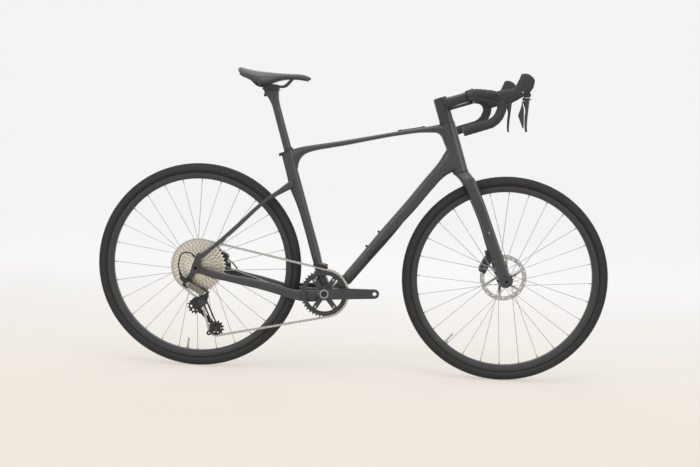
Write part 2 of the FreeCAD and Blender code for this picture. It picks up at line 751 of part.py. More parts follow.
# Wheels
def tyre_solid(centre):
    """Hollow casing whose beads sit inside the rim walls."""
    half = tyre_width / 2
    outer = [(16.2, 320.5), (half, 331), (half * 0.72, 344.5), (0, tyre_radius)]
    inner = [(13.0, 320.5), (half - 2.6, 331), ((half - 3) * 0.72, 341.6), (0, tyre_radius - 3.6)]
    bead = [(13.0, 320.5), (9.6, 317.6), (9.6, 312.0), (12.3, 312.0), (12.3, 317.2), (16.2, 320.5)]
    edges = []
    for curve_points in (outer, inner):
        both = curve_points + [(-y, r) for y, r in curve_points[-2::-1]]
        curve = Part.BSplineCurve()
        curve.interpolate(Points=[centre + V(0, y, r) for y, r in both])
        edges.append(curve.toShape())
    for side in (1, -1):
        corners = [centre + V(0, side * y, r) for y, r in bead]
        edges += [Part.makeLine(a, b) for a, b in zip(corners, corners[1:])]
    wire = Part.Wire(Part.__sortEdges__(edges))
    return Part.Face(wire).revolve(centre, left, 360)


def rim_solid(centre):
    w = rim_half_width
    outline = [
        (w, rim_outer), (w, 308), (10.5, 299.5), (8.0, rim_inner), (-8.0, rim_inner),
        (-10.5, 299.5), (-w, 308), (-w, rim_outer), (-12.3, rim_outer), (-12.3, 312.0),
        (12.3, 312.0), (12.3, rim_outer),
    ]
    hollow = [
        (w - 2.2, 309.6), (9.0, 301.0), (7.6, 299.8), (-7.6, 299.8),
        (-9.0, 301.0), (-w + 2.2, 309.6),
    ]
    body = turned_profile(outline, centre)
    return body.cut(turned_profile(hollow, centre))


def spoke_lines(centre, flanges):
    """Hub end, rim end and flange face of one spoke of each kind."""
    step = math.radians(360.0 / spoke_count)
    lines = []
    for side, flange in enumerate(flanges):
        outward = -1 if side == 0 else 1
        for kind in (0, 1):
            face = outward if kind else -outward
            rim_at = step * (side + 2 * kind)
            hub_at = rim_at + spoke_cross * 2 * step * (1 if kind else -1)
            lane = flange + face * (flange_thickness / 2 + spoke_radius)
            hub_end = centre + polar(flange_hole_radius, hub_at) + V(0, lane, 0)
            rim_end = centre + polar(302.0, rim_at) + V(0, 2.0 * outward, 0)
            lines.append((hub_end, rim_end, face))
    return lines


def all_round(shape, centre):
    """Turned copies of a shape, one for each fourth spoke place."""
    step = 360.0 / spoke_count
    return [spun(shape, centre, left, -4 * step * i) for i in range(spoke_count // 4)]


def spokes_of(centre, flanges):
    made = []
    for hub_end, rim_end, face in spoke_lines(centre, flanges):
        ahead = (rim_end - hub_end).normalize()
        across = V(0, -face, 0)
        wire = rod(hub_end, rim_end - ahead * 2, spoke_radius)
        bend = Part.makeSphere(spoke_radius, hub_end)
        pin = rod(hub_end, hub_end + across * (flange_thickness + 2 * spoke_radius), spoke_radius)
        head_seat = hub_end + across * (flange_thickness + spoke_radius)
        head = rod(head_seat, head_seat + across * 1.2, 2.0)
        nipple = rod(rim_end - ahead * 14, rim_end, nipple_radius)
        made += all_round(fuse(wire, bend, pin, head, nipple), centre)
    return made


def nipple_holes(centre, flanges):
    holes = []
    for hub_end, rim_end, _ in spoke_lines(centre, flanges):
        ahead = (rim_end - hub_end).normalize()
        hole = rod(rim_end - ahead * 10, rim_end + ahead, nipple_radius + seat_gap)
        holes += all_round(hole, centre)
    return holes


def pin_holes(centre, flanges):
    holes = []
    step = math.radians(360.0 / spoke_count)
    for side, flange in enumerate(flanges):
        for i in range(spoke_count // 2):
            spot = centre + polar(flange_hole_radius, step * (side + 2 * i))
            start = spot + V(0, flange - 3, 0)
            holes.append(Part.makeCylinder(spoke_radius + seat_gap, 6, start, left))
    return holes


def flange_outline(y):
    """Flange with a flat round the spoke holes and a thin edge."""
    half = flange_thickness / 2
    return [
        (y - half - 1.5, 17.0), (y - half, 18.8), (y - half, 22.6), (y - half + 0.95, flange_radius),
        (y + half - 0.95, flange_radius), (y + half, 22.6), (y + half, 18.8), (y + half + 1.5, 17.0),
    ]


def hub_shell(centre, flanges, low, high, rotor_y):
    near, far = flanges
    outline = [(low, 8.6), (low, 12.0), (near - 5.5, 13.0)]
    outline += flange_outline(near)
    outline += [(near + 10.5, 12.5), (far - 10.5, 12.5)]
    outline += flange_outline(far)
    outline += [(rotor_y - 1.4, 17.0), (rotor_y - 1.4, 15.0), (high, 15.0), (high, 8.6)]
    shell_body = turned_profile(outline, centre)
    return shell_body.cut(Part.makeCompound(pin_holes(centre, flanges)))


def rotor_solid(centre, y):
    half = rotor_thickness / 2
    low = centre + V(0, y - half, 0)
    high = centre + V(0, y + half, 0)
    track = ring(low, high, rotor_radius, 65.0)
    hub_ring = ring(low, high, 24.0, 15.0)
    arms = []
    for i in range(6):
        at = math.radians(60 * i)
        reach_at = math.radians(60 * i + 24)
        first = (centre.x + 20 * math.cos(at), centre.z + 20 * math.sin(at))
        second = (centre.x + 68 * math.cos(reach_at), centre.z + 68 * math.sin(reach_at))
        arms.append(slot(first, second, 4.0, y - half, y + half))
    holes = []
    for i in range(24):
        at = math.radians(15 * i + 4)
        radius = (70.0, 75.0)[i % 2]
        point = (centre.x + radius * math.cos(at), centre.z + radius * math.sin(at))
        holes.append(disc(point, 2.4, y - 3, y + 3))
    body = fuse(track, hub_ring, *arms)
    body = one_solid(body.cut(Part.makeCompound(holes)))
    lock = ring(high, high + V(0, 3.5, 0), 20.0, 15.0)
    return body, lock


def wheel(prefix, centre, flanges, low, high, rotor_y, valve_at):
    rim = rim_solid(centre)
    rim = rim.cut(Part.makeCompound(nipple_holes(centre, flanges)))
    aim = V(math.cos(math.radians(valve_at)), 0, math.sin(math.radians(valve_at)))
    stem_rod = rod(centre + aim * 258, centre + aim * 311, 3.0)
    rim = rim.cut(rod(centre + aim * 280, centre + aim * 320, 3.0 + seat_gap))
    nut = ring(centre + aim * 290, centre + aim * 297.4, 5.5, 3.0 + seat_gap)
    save(prefix + "_rim", one_solid(rim), stem_rod, nut)
    save(prefix + "_tyre", tyre_solid(centre))
    save(prefix + "_spokes", *spokes_of(centre, flanges))
    shell_body = hub_shell(centre, flanges, low, high, rotor_y)
    races = []
    for start, end in ((low, low + 8), (high - 8, high)):
        race_ends = (centre + V(0, start, 0), centre + V(0, end, 0))
        races.append(ring(*race_ends, 8.6, axle_radius + running_gap))
    save(prefix + "_hub", one_solid(shell_body), *races)
    disc_body, lock = rotor_solid(centre, rotor_y)
    save(prefix + "_rotor", disc_body, lock)


wheel("front", front_axle, front_flanges, -46.0, 42.0, front_rotor_y, 230.0)
wheel("rear", rear_axle, rear_flanges, -24.0, 66.0, rear_rotor_y, 263.0)


def through_axle(centre, half, outer, caps):
    shaft = ring(centre - V(0, outer, 0), centre + V(0, outer, 0), axle_radius, 3.5)
    solids = [shaft]
    for low, high in caps:
        cap_ends = (centre + V(0, low, 0), centre + V(0, high, 0))
        solids.append(ring(*cap_ends, 10.0, axle_radius + seat_gap))
    head = ring(centre + V(0, half, 0), centre + V(0, half + 4, 0), 9.0, axle_radius)
    solids[0] = fuse(shaft, head)
    return solids


save("front_axle", *through_axle(front_axle, 64.0, 64.0, ((-50.0, -46.4), (42.4, 50.0))))
save("rear_axle", *through_axle(rear_axle, 79.0, 79.0, ((-71.0, -67.0), (66.4, 71.0))))


# Brake calipers with pads on each side of the rotor
def tilted_plate(centre, along, corners, y_low, y_high):
    """Plate with corners given along and across a direction of the side view."""
    out = V(-along.z, 0, along.x)
    points = [centre + along * a + out * b for a, b in corners]
    return side_plate([(p.x, p.z) for p in points], y_low, y_high)


def caliper(centre, along, y, half):
    """A block that straddles the rotor, with a slot open toward the axle."""
    end = half - 10
    block_corners = [(-half, -13), (half, -13), (half, 9), (end, 15), (-end, 15), (-half, 9)]
    body = tilted_plate(centre, along, block_corners, y - 11.5, y + 14.5)
    pad_room = [(-17, -30), (17, -30), (17, 10), (-17, 10)]
    body = body.cut(tilted_plate(centre, along, pad_room, y - 7.0, y + 7.0))
    rotor_gap = [(-60, -40), (60, -40), (60, 10), (-60, 10)]
    body = body.cut(tilted_plate(centre, along, rotor_gap, y - 1.9, y + 1.9))
    pad_corners = [(-16.4, -11), (16.4, -11), (16.4, 8), (-16.4, 8)]
    inner = rotor_thickness / 2 + 0.7
    outer = 7.0 - 0.5
    pads = [
        tilted_plate(centre, along, pad_corners, y - outer, y - inner),
        tilted_plate(centre, along, pad_corners, y + inner, y + outer),
    ]
    return one_solid(body), pads


front_place = V(982, 0, 394)
front_body, front_pads = caliper(front_place, V(0.42, 0, 0.91).normalize(), front_rotor_y, 31)
rear_place = V(63, 0, 379)
rear_body, rear_pads = caliper(rear_place, V(0.91, 0, -0.41).normalize(), rear_rotor_y, 27)
front_foot = skin([
    ((1010, 450), (978, 438), 50, 9, 4),
    ((1022, 404), (990, 392), 50, 9, 4),
])
front_foot = front_foot.cut(disc((wheelbase, 350), rotor_radius + 3, 20, 49.9))
front_body = one_solid(fuse(front_body, front_foot).cut(fork))
rear_foot = side_plate([(60, 336), (98, 326), (96, 352), (70, 366)], 63.7, 71)
rear_room = disc((0, 350), rotor_radius + 3, rear_rotor_y - 1.9, rear_rotor_y + 1.9)
rear_body = fuse(rear_body, rear_foot).cut(chainstay).cut(seatstay)
rear_body = one_solid(rear_body.cut(rear_room))
save("front_caliper", front_body)
save("rear_caliper", rear_body)
save("front_pad_right", front_pads[0])
save("front_pad_left", front_pads[1])
save("rear_pad_right", rear_pads[0])
save("rear_pad_left", rear_pads[1])


# Chain drive
def pitch_radius(teeth):
    return chain_pitch / (2 * math.sin(math.pi / teeth))


def toothed_face(teeth, phase):
    radius = pitch_radius(teeth)
    reach_out = radius + tooth_height
    beta = math.radians(60)
    step = 2 * math.pi / teeth
    edges = []

    def gullet(a, b):
        inward = polar(-1, a)
        side = polar(1, a + math.pi / 2)
        return polar(radius, a) + (inward * math.cos(b) + side * math.sin(b)) * gullet_radius

    for i in range(teeth):
        a = phase + step * i
        start = gullet(a, -beta)
        end = gullet(a, beta)
        first = polar(reach_out, a + step / 2 - tooth_tip / reach_out)
        second = polar(reach_out, a + step / 2 + tooth_tip / reach_out)
        edges.append(Part.Arc(start, gullet(a, 0), end).toShape())
        edges.append(Part.makeLine(end, first))
        edges.append(Part.makeLine(first, second))
        edges.append(Part.makeLine(second, gullet(a + step, -beta)))
    return Part.Face(Part.Wire(edges))


def sprocket(teeth, phase, centre, y, thickness):
    plate = toothed_face(teeth, phase).extrude(V(0, thickness, 0))
    plate.translate(V(centre[0], y - thickness / 2, centre[1]))
    return plate


cage_pivot = (20.0, 230.0)
cage_guide_offset = 33.7
guide_turn = 216.19
tension_turn = -44.77
cog_y = cog_first_y


def pulley_centres(angle):
    """Guide and tension pulley centres for a cage angle in degrees."""
    to_guide = math.radians(angle + guide_turn)
    guide_at = (
        cage_pivot[0] + cage_guide_offset * math.cos(to_guide),
        cage_pivot[1] + cage_guide_offset * math.sin(to_guide),
    )
    down_at = math.radians(angle + tension_turn)
    tension_at = (
        guide_at[0] + pulley_spacing * math.cos(down_at),
        guide_at[1] + pulley_spacing * math.sin(down_at),
    )
    return guide_at, tension_at


def chain_runs(angle):
    """Arcs and straight runs of the chain loop, seen from the drive side."""
    guide_at, tension_at = pulley_centres(angle)
    wheels = [
        (bottom_bracket, pitch_radius(ring_teeth), 1, ring_y),
        ((0.0, tyre_radius), pitch_radius(cog_teeth[0]), 1, cog_y),
        (guide_at, pitch_radius(pulley_teeth), -1, cog_y),
        (tension_at, pitch_radius(pulley_teeth), 1, cog_y),
    ]
    headings = []
    for i, (centre, radius, sense, _) in enumerate(wheels):
        other, other_radius, other_sense, _ = wheels[(i + 1) % 4]
        across = (other[0] - centre[0], other[1] - centre[1])
        base = math.atan2(across[1], across[0])
        lift = (sense * radius - other_sense * other_radius) / math.hypot(*across)
        headings.append(base + math.asin(lift))
    runs = []
    for i, (centre, radius, sense, y) in enumerate(wheels):
        arrive = headings[i - 1] - sense * math.pi / 2
        leave = headings[i] - sense * math.pi / 2
        sweep = (sense * (leave - arrive)) % (2 * math.pi)
        runs.append(("arc", centre, radius, sense, arrive, sweep, y))
        other, other_radius, other_sense, other_y = wheels[(i + 1) % 4]
        start = (centre[0] + radius * math.cos(leave), centre[1] + radius * math.sin(leave))
        land = headings[i] - other_sense * math.pi / 2
        end = (other[0] + other_radius * math.cos(land), other[1] + other_radius * math.sin(land))
        runs.append(("line", start, end, y, other_y))
    return runs


def run_length(run):
    if run[0] == "arc":
        return run[2] * run[5]
    return math.dist(run[1], run[2])


def point_on(runs, lengths, distance):
    distance %= sum(lengths)
    for run, length in zip(runs, lengths):
        if distance <= length:
            break
        distance -= length
    if run[0] == "arc":
        at = run[4] + run[3] * distance / run[2]
        return V(run[1][0] + run[2] * math.cos(at), run[6], run[1][1] + run[2] * math.sin(at))
    part = distance / length
    x = run[1][0] + (run[2][0] - run[1][0]) * part
    z = run[1][1] + (run[2][1] - run[1][1]) * part
    slant = (distance - straight_start) / (length - 2 * straight_start)
    y = run[3] + (run[4] - run[3]) * min(max(slant, 0.0), 1.0)
    return V(x, y, z)


def walk_chain(angle, count):
    """Pins one pitch apart, and how far the last is from the first."""
    runs = chain_runs(angle)
    lengths = [run_length(r) for r in runs]
    at = 0.0
    pins = []
    for _ in range(count):
        here = point_on(runs, lengths, at)
        pins.append(here)
        low = at + chain_pitch * 0.98
        high = at + chain_pitch * 1.08
        for _ in range(40):
            middle = (low + high) / 2
            if (point_on(runs, lengths, middle) - here).Length < chain_pitch:
                low = middle
            else:
                high = middle
        at = (low + high) / 2
    return pins, at - sum(lengths)


start_length = sum(run_length(r) for r in chain_runs(0.0))
link_count = 2 * round(start_length / chain_pitch / 2)
low_angle = -25.0
high_angle = 25.0
for _ in range(40):
    cage_angle = (low_angle + high_angle) / 2
    over = walk_chain(cage_angle, link_count)[1]
    rising = walk_chain(high_angle, link_count)[1]
    if (over > 0) == (rising > 0):
        high_angle = cage_angle
    else:
        low_angle = cage_angle
pins, _ = walk_chain(cage_angle, link_count)
guide_at, tension_at = pulley_centres(cage_angle)


def phase_of(centre, radius):
    """Angle of a pin that sits on a sprocket."""
    best = min(pins, key=lambda p: abs(math.hypot(p.x - centre[0], p.z - centre[1]) - radius))
    seated = [p for p in pins if abs(math.hypot(p.x - centre[0], p.z - centre[1]) - radius) < 0.02]
    middle = seated[len(seated) // 2] if seated else best
    return math.atan2(middle.z - centre[1], middle.x - centre[0])


inner_low = 1.15
inner_high = inner_low + 0.75
outer_low = inner_high + plate_gap
outer_high = outer_low + 0.75
plate_end = 4.2
pin_radius = 1.75


def link_plate(low, high):
    """Waisted plate between two pins along X."""
    end = chain_pitch / 2
    waist = 3.0
    sweep = (plate_end ** 2 - end ** 2 - waist ** 2) / (2 * waist - 2 * plate_end)
    rise_to = waist + sweep
    span = plate_end + sweep
    tx = end - plate_end * end / span
    tz = plate_end * rise_to / span
    points = [V(tx, 0, tz), V(end + plate_end, 0, 0), V(tx, 0, -tz)]
    right_arc = Part.Arc(*points).toShape()
    low_arc = Part.Arc(V(tx, 0, -tz), V(0, 0, -waist), V(-tx, 0, -tz)).toShape()
    left_arc = Part.Arc(V(-tx, 0, -tz), V(-end - plate_end, 0, 0), V(-tx, 0, tz)).toShape()
    top_arc = Part.Arc(V(-tx, 0, tz), V(0, 0, waist), V(tx, 0, tz)).toShape()
    face = Part.Face(Part.Wire([right_arc, low_arc, left_arc, top_arc]))
    plate = face.extrude(V(0, high - low, 0))
    plate.translate(V(0, low, 0))
    return plate


pin_half = chain_pitch / 2
outer_link = fuse(
    link_plate(outer_low, outer_high),
    link_plate(-outer_high, -outer_low),
    disc((pin_half, 0), pin_radius, -outer_high - 0.2, outer_high + 0.2),
    disc((-pin_half, 0), pin_radius, -outer_high - 0.2, outer_high + 0.2),
)
inner_link = fuse(
    link_plate(inner_low, inner_high),
    link_plate(-inner_high, -inner_low),
    disc((pin_half, 0), roller_radius, -inner_low, inner_low),
    disc((-pin_half, 0), roller_radius, -inner_low, inner_low),
)
for x in (pin_half, -pin_half):
    inner_link = inner_link.cut(disc((x, 0), pin_radius + pin_gap, -9, 9))
links = []
for i in range(link_count):
    a = pins[i]
    b = pins[(i + 1) % link_count]
    ahead = (b - a).normalize()
    across = (left - ahead * ahead.dot(left)).normalize()
    up = ahead.cross(across)
    place = FreeCAD.Matrix()
    place.A11, place.A21, place.A31 = ahead.x, ahead.y, ahead.z
    place.A12, place.A22, place.A32 = across.x, across.y, across.z
    place.A13, place.A23, place.A33 = up.x, up.y, up.z
    middle = (a + b) * 0.5
    place.A14, place.A24, place.A34 = middle.x, middle.y, middle.z
    link = (outer_link if i % 2 else inner_link).copy()
    link.Placement = FreeCAD.Placement(place)
    links.append(link)
save("chain", *links)

# Chainring, cranks and bottom bracket
ring_phase = phase_of(bottom_bracket, pitch_radius(ring_teeth))
bolt_turns = [55 + crank_angle, 125 + crank_angle, 235 + crank_angle, 305 + crank_angle]
bolt_spots = []
for turn in bolt_turns:
    at = math.radians(turn)
    bolt_spots.append((
        bottom_bracket[0] + bolt_circle / 2 * math.cos(at),
        bottom_bracket[1] + bolt_circle / 2 * math.sin(at),
    ))
ring_body = sprocket(ring_teeth, ring_phase, bottom_bracket, ring_y, 1.7)
ring_body = ring_body.cut(disc(bottom_bracket, 62.0, -70, -30))
tabs = []
for spot in bolt_spots:
    rim_spot = (
        bottom_bracket[0] + (spot[0] - bottom_bracket[0]) * 1.22,
        bottom_bracket[1] + (spot[1] - bottom_bracket[1]) * 1.22,
    )
    tabs.append(slot(spot, rim_spot, 8.0, ring_y - 0.85, ring_y + 0.85))
ring_body = fuse(ring_body, *tabs)
stiff_ring = ring(
    V(bottom_bracket[0], ring_y - 2.6, bottom_bracket[1]),
    V(bottom_bracket[0], ring_y - 0.8, bottom_bracket[1]),
    73.0, 66.0,
)
ring_body = fuse(ring_body, stiff_ring)
for spot in bolt_spots:
    ring_body = ring_body.cut(disc(spot, 5.0 + seat_gap, -70, -30))
save("chainring", one_solid(ring_body))

spider_low = ring_y - 6.85
spider_high = ring_y - 0.85
spider = disc(bottom_bracket, 21.0, spider_low - 3, spider_high + 3)
arms = [slot(bottom_bracket, spot, 8.5, spider_low, spider_high) for spot in bolt_spots]

pedal_spot = (bottom_bracket[0] + crank_length, bottom_bracket[1])
arm_side = tapered_slot(bottom_bracket, pedal_spot, 19.5, 15.5, -80, -40)
arm_plan = [
    (-25, -68), (20, -68.5), (100, -72.5), (160, -75.7), (190, -75.7),
    (190, -63.3), (160, -63.3), (105, -60), (52, -56.8), (24, -51), (-25, -51),
]
arm_corners = [V(bottom_bracket[0] + x, y, bottom_bracket[1] - 40) for x, y in arm_plan]
arm_block = Part.Face(Part.makePolygon(arm_corners + [arm_corners[0]])).extrude(V(0, 0, 80))
arm_core = one_solid(arm_side.common(arm_block))
pedal_hole = disc(pedal_spot, pedal_hole_radius, -90, -50)
arm_boss = disc(bottom_bracket, 18.5, -60, -46.5)
arm = fuse(arm_core, arm_boss).cut(pedal_hole)
arm = spun(arm, crank_axis, left, -crank_angle)
spindle = rod(crank_axis + V(0, -46.5, 0), crank_axis + V(0, 66, 0), spindle_radius)
spindle_bore = rod(crank_axis + V(0, -80, 0), crank_axis + V(0, 80, 0), 9.0)
ring_room = ring(
    V(bottom_bracket[0], spider_high, bottom_bracket[1]),
    V(bottom_bracket[0], spider_high + 10, bottom_bracket[1]), 120, 24,
)
right_crank = fuse(arm, spider, *arms)
right_crank = right_crank.cut(ring_room).cut(spindle_bore)
for spot in bolt_spots:
    right_crank = right_crank.cut(disc(spot, 5.0 + seat_gap, -70, -30))
save("right_crank", one_solid(right_crank), spindle.cut(spindle_bore))
ring_bolts = []
for spot in bolt_spots:
    shank = disc(spot, 5.0, spider_low - 0.5, ring_y + 0.85)
    flat = disc(spot, 6.5, ring_y + 0.85, ring_y + 2.2)
    ring_bolts.append(fuse(shank, flat))
save("chainring_bolts", *ring_bolts)

left_arm = fuse(arm_core, arm_boss).cut(pedal_hole)
left_arm = mirror(left_arm)
left_arm = spun(left_arm, crank_axis, left, 180 - crank_angle)
left_arm = left_arm.cut(rod(crank_axis + V(0, 20, 0), crank_axis + V(0, 66, 0), spindle_radius))
left_arm = left_arm.cut(rod(crank_axis + V(0, 60, 0), crank_axis + V(0, 80, 0), 9.0))
save("left_crank", one_solid(left_arm))

cups = []
for side in (-1, 1):
    inner = crank_axis + V(0, side * 30, 0)
    face = crank_axis + V(0, side * shell_half, 0)
    outside = crank_axis + V(0, side * (shell_half + 2), 0)
    cup = fuse(rod(inner, outside, 20.5), rod(face, outside, 23.0))
    cups.append(cup.cut(rod(inner, outside, spindle_radius + running_gap)))
save("bottom_bracket", *cups)

# Cassette on its freehub
cogs = []
for i, teeth in enumerate(cog_teeth):
    y = cog_first_y - cog_pitch * i
    phase = phase_of((0.0, tyre_radius), pitch_radius(teeth)) if i == 0 else 0.3 * i
    cog = sprocket(teeth, phase, (0.0, tyre_radius), y, cog_thickness)
    bore = 15.5 if teeth > 10 else 13.0
    foot = y - cog_pitch + cog_thickness / 2
    if teeth > 12:
        spacer = disc((0, tyre_radius), 19.0 if teeth > 14 else 18.0, foot, y)
        cog = fuse(cog, spacer)
    elif teeth == 12:
        cog = fuse(cog, disc((0, tyre_radius), 16.0, foot, y))
    cog = cog.cut(disc((0, tyre_radius), bore, -90, 0))
    root = pitch_radius(teeth) - gullet_radius - 4
    if root > 32:
        hole = (root - 23) / 2.3
        count = 12 if teeth > 30 else 9
        hole = min(hole, 0.40 * math.pi * (root + 22) / count)
        holes = []
        for k in range(count):
            at = 2 * math.pi * k / count + 0.1 * i
            middle = (root + 23) / 2
            spot = (middle * math.cos(at), tyre_radius + middle * math.sin(at))
            holes.append(disc(spot, hole, y - 3, y + 3))
        cog = cog.cut(Part.makeCompound(holes))
    cogs.append(one_solid(cog))
save("cassette", *cogs)
last_y = cog_first_y - cog_pitch * 11
body_end = last_y + cog_pitch - cog_thickness / 2
bore_radius = axle_radius + running_gap
freehub_body = ring(V(0, -24.6, tyre_radius), V(0, body_end, tyre_radius), 15.5, bore_radius)
lock_sleeve = ring(V(0, body_end, tyre_radius), V(0, last_y - 1.5, tyre_radius), 13.0, bore_radius)
lock_ring = ring(V(0, last_y - 0.8, tyre_radius), V(0, last_y - 2.6, tyre_radius), 15.0, 12.9)
save("freehub", freehub_body, fuse(lock_sleeve, lock_ring))

# Derailleur: hanger, upper body, two links, knuckle, cage and pulleys
hanger_bolt = (-15.0, 322.0)
hanger = tapered_slot((0, tyre_radius), hanger_bolt, 12.0, 8.5, -axle_plate_outer - 5, -axle_plate_outer)
hanger = hanger.cut(disc((0, tyre_radius), 9.6, -90, -70))
hanger = hanger.cut(disc(hanger_bolt, 4.0 + seat_gap, -90, -70))
hanger_ring = ring(
    V(0, -axle_plate_outer - 5, tyre_radius),
    V(0, -axle_plate_outer, tyre_radius), 12.0, axle_radius + seat_gap,
)
save("derailleur_hanger", fuse(hanger, hanger_ring))

link_end = V(20.0, 0, 262.0)
link_start = V(-23.0, 0, 293.0)
link_flat = (link_end - link_start).normalize()
link_axis = V(-link_flat.z, 0, link_flat.x)
shift_angle = 25.0
link_run = (link_end - link_start).Length
side_step = link_run * math.tan(math.radians(shift_angle))
body_y = -70.0
link_offset = 8.0
link_tall = 10.0


def across_plate(first, second, radius, low, high):
    """Plate at right angles to the link pivots, rounded at both ends."""
    a = first + link_axis * low
    b = second + link_axis * low
    rise_by = link_axis * (high - low)
    bar = (b - a).normalize()
    side = bar.cross(link_axis)
    corners = [a + side * radius, b + side * radius, b - side * radius, a - side * radius]
    web = Part.Face(Part.makePolygon(corners + [corners[0]])).extrude(rise_by)
    return fuse(web, rod(a, a + rise_by, radius), rod(b, b + rise_by, radius))


def link_bar(y):
    start = link_start + V(0, y, 0)
    end = link_end + V(0, y + side_step, 0)
    bar = across_plate(start, end, 3.6, -link_tall, link_tall)
    for spot in (start, end):
        bar = fuse(bar, rod(spot - link_axis * link_tall, spot + link_axis * link_tall, 4.8))
        bar = bar.cut(rod(spot - link_axis * 20, spot + link_axis * 20, 2.5 + running_gap))
    return bar


save("outer_link", one_solid(link_bar(body_y - link_offset)))
save("inner_link", one_solid(link_bar(body_y + link_offset)))


def ears(middle_y, foot, back):
    """Two ears with pins for both links, joined behind the pivots."""
    first = foot + V(0, middle_y - link_offset, 0)
    second = foot + V(0, middle_y + link_offset, 0)
    solids = []
    for low, high in ((link_tall + 0.4, link_tall + 4), (-link_tall - 4, -link_tall - 0.4)):
        solids.append(across_plate(first, second, 5.2, low, high))
        near = foot + V(0, middle_y - 13.2, 0) + link_flat * (back * 18) + link_axis * low
        far_corner = [
            near,
            near + V(0, 26.4, 0),
            near + V(0, 26.4, 0) - link_flat * (back * 18),
            near - link_flat * (back * 18),
        ]
        face = Part.Face(Part.makePolygon(far_corner + [far_corner[0]]))
        solids.append(face.extrude(link_axis * (high - low)))
    base = foot + V(0, middle_y - 13.2, 0) + link_flat * (back * 10) - link_axis * (link_tall + 4)
    corner = [
        base,
        base + V(0, 26.4, 0),
        base + V(0, 26.4, 0) + link_flat * (back * 8),
        base + link_flat * (back * 8),
    ]
    wall = Part.Face(Part.makePolygon(corner + [corner[0]])).extrude(link_axis * (2 * link_tall + 8))
    solids.append(wall)
    for spot in (first, second):
        solids.append(rod(spot - link_axis * (link_tall + 4), spot + link_axis * (link_tall + 4), 2.5))
    return fuse(*solids)


body_block = ears(body_y, link_start, -1)
mount_boss = disc(hanger_bolt, 9.5, -axle_plate_outer, -66.5)
neck_low = link_start - link_flat * 15
neck = slot((neck_low.x, neck_low.z), hanger_bolt, 7.0, -axle_plate_outer, -66.5)
cable_stop = rod(V(-54, -70, 330), V(-47, -70, 312), 4.5)
stop_arm = slot((-47, 313), (neck_low.x, neck_low.z), 7.0, -76, -66.5)
mount_bolt = fuse(
    disc(hanger_bolt, 4.0, -axle_plate_outer - 5, -axle_plate_outer),
    disc(hanger_bolt, 6.5, -axle_plate_outer - 8, -axle_plate_outer - 5),
)
body_block = fuse(body_block, mount_boss, neck, cable_stop, stop_arm, mount_bolt)
save("derailleur_body", one_solid(body_block))

knuckle_y = body_y + side_step
knuckle_block = ears(knuckle_y, link_end, 1)
cage_face = cog_y - 8.4
barrel = disc(cage_pivot, 15.0, cage_face - 19, cage_face - 0.4)
web_spot = link_end + link_flat * 15
knuckle_web = tapered_slot(cage_pivot, (web_spot.x, web_spot.z), 15.0, 8.0, cage_face - 18, cage_face - 4)
knuckle_block = fuse(knuckle_block, barrel, knuckle_web)
cage_side = box_between(V(-20, cage_face - 0.4, 200), V(80, cage_face + 20, 300))
knuckle_block = knuckle_block.cut(cage_side)
knuckle_block = knuckle_block.cut(disc(cage_pivot, 5.0 + running_gap, cage_face - 16, cage_face + 5))
save("knuckle", one_solid(knuckle_block))

upper_corners = [(-28, 222), (-14, 240), (4, 246), (22, 244), (32, 235), (28, 215), (-4, 204)]


def near_tension(x, z):
    """Point of the side view beside the lower pulley."""
    return (tension_at[0] + x, tension_at[1] + z)


plate_out = (cage_face, cage_face + 1.8)
plate_in = (cog_y + 6.6, cog_y + 8.0)
outer_plate = fuse(
    side_plate(upper_corners, *plate_out),
    disc(guide_at, 10.0, *plate_out),
    slot((24, 219), (52, 156), 2.6, *plate_out),
    slot((31, 233), (66, 158), 2.6, *plate_out),
    disc(tension_at, 23.0, *plate_out),
    slot(tension_at, near_tension(-24, -17), 8.0, *plate_out),
)
outer_plate = outer_plate.cut(disc(near_tension(-22, -16), 3.6, *plate_out))
outer_plate = outer_plate.cut(slot(near_tension(-4, -14), near_tension(6, -14), 4.0, *plate_out))
outer_plate = outer_plate.cut(disc(near_tension(14, 3), 5.0, *plate_out))
outer_plate = outer_plate.cut(disc(near_tension(-1, 13), 4.0, *plate_out))
inner_plate = fuse(
    slot(guide_at, tension_at, 7.0, *plate_in),
    disc(guide_at, 12.0, *plate_in),
    disc(tension_at, 14.0, *plate_in),
)
stub = disc(cage_pivot, 5.0, cage_face - 15, cage_face + 0.5)
cage_pins = [disc(p, 2.5, cage_face, plate_in[1]) for p in (guide_at, tension_at)]
cage = fuse(outer_plate, inner_plate, stub, *cage_pins)
save("cage", one_solid(cage))
for name, spot in (("guide_pulley", guide_at), ("tension_pulley", tension_at)):
    phase = phase_of(spot, pitch_radius(pulley_teeth))
    pulley = sprocket(pulley_teeth, phase, spot, cog_y, 1.6)
    core = disc(spot, 7.5, cage_face + 2.2, plate_in[0] - 0.4)
    pulley = fuse(pulley, core)
    pulley = pulley.cut(disc(spot, 2.5 + running_gap, -60, 0))
    for k in range(6):
        at = math.radians(60 * k)
        eye = (spot[0] + 14.5 * math.cos(at), spot[1] + 14.5 * math.sin(at))
        pulley = pulley.cut(disc(eye, 4.2, -60, 0))
    save(name, one_solid(pulley))

# Shift cable housing at the rear, and the rear brake hose
loop = [
    V(-2, -75, 384),
    V(-18, -75, 400),
    V(-52, -73, 402),
    V(-61, -71, 356),
    V(-54.2, -70, 330.6),
]
housing = pipe(rounded_path(loop, [12, 20, 24]), 2.5)
housing = housing.cut(Part.makeCompound([mirror(chainstay), mirror(seatstay), body_block]))
brake_line = [
    V(84, 66, 366),
    V(104, 66, 352),
    V(118, 65, 336),
    V(122, 64, 320),
]
hose = pipe(rounded_path(brake_line, [12, 10]), 2.5)
hose = hose.cut(Part.makeCompound([chainstay, rear_body]))
save("rear_cables", one_solid(housing), one_solid(hose))
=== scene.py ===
import math

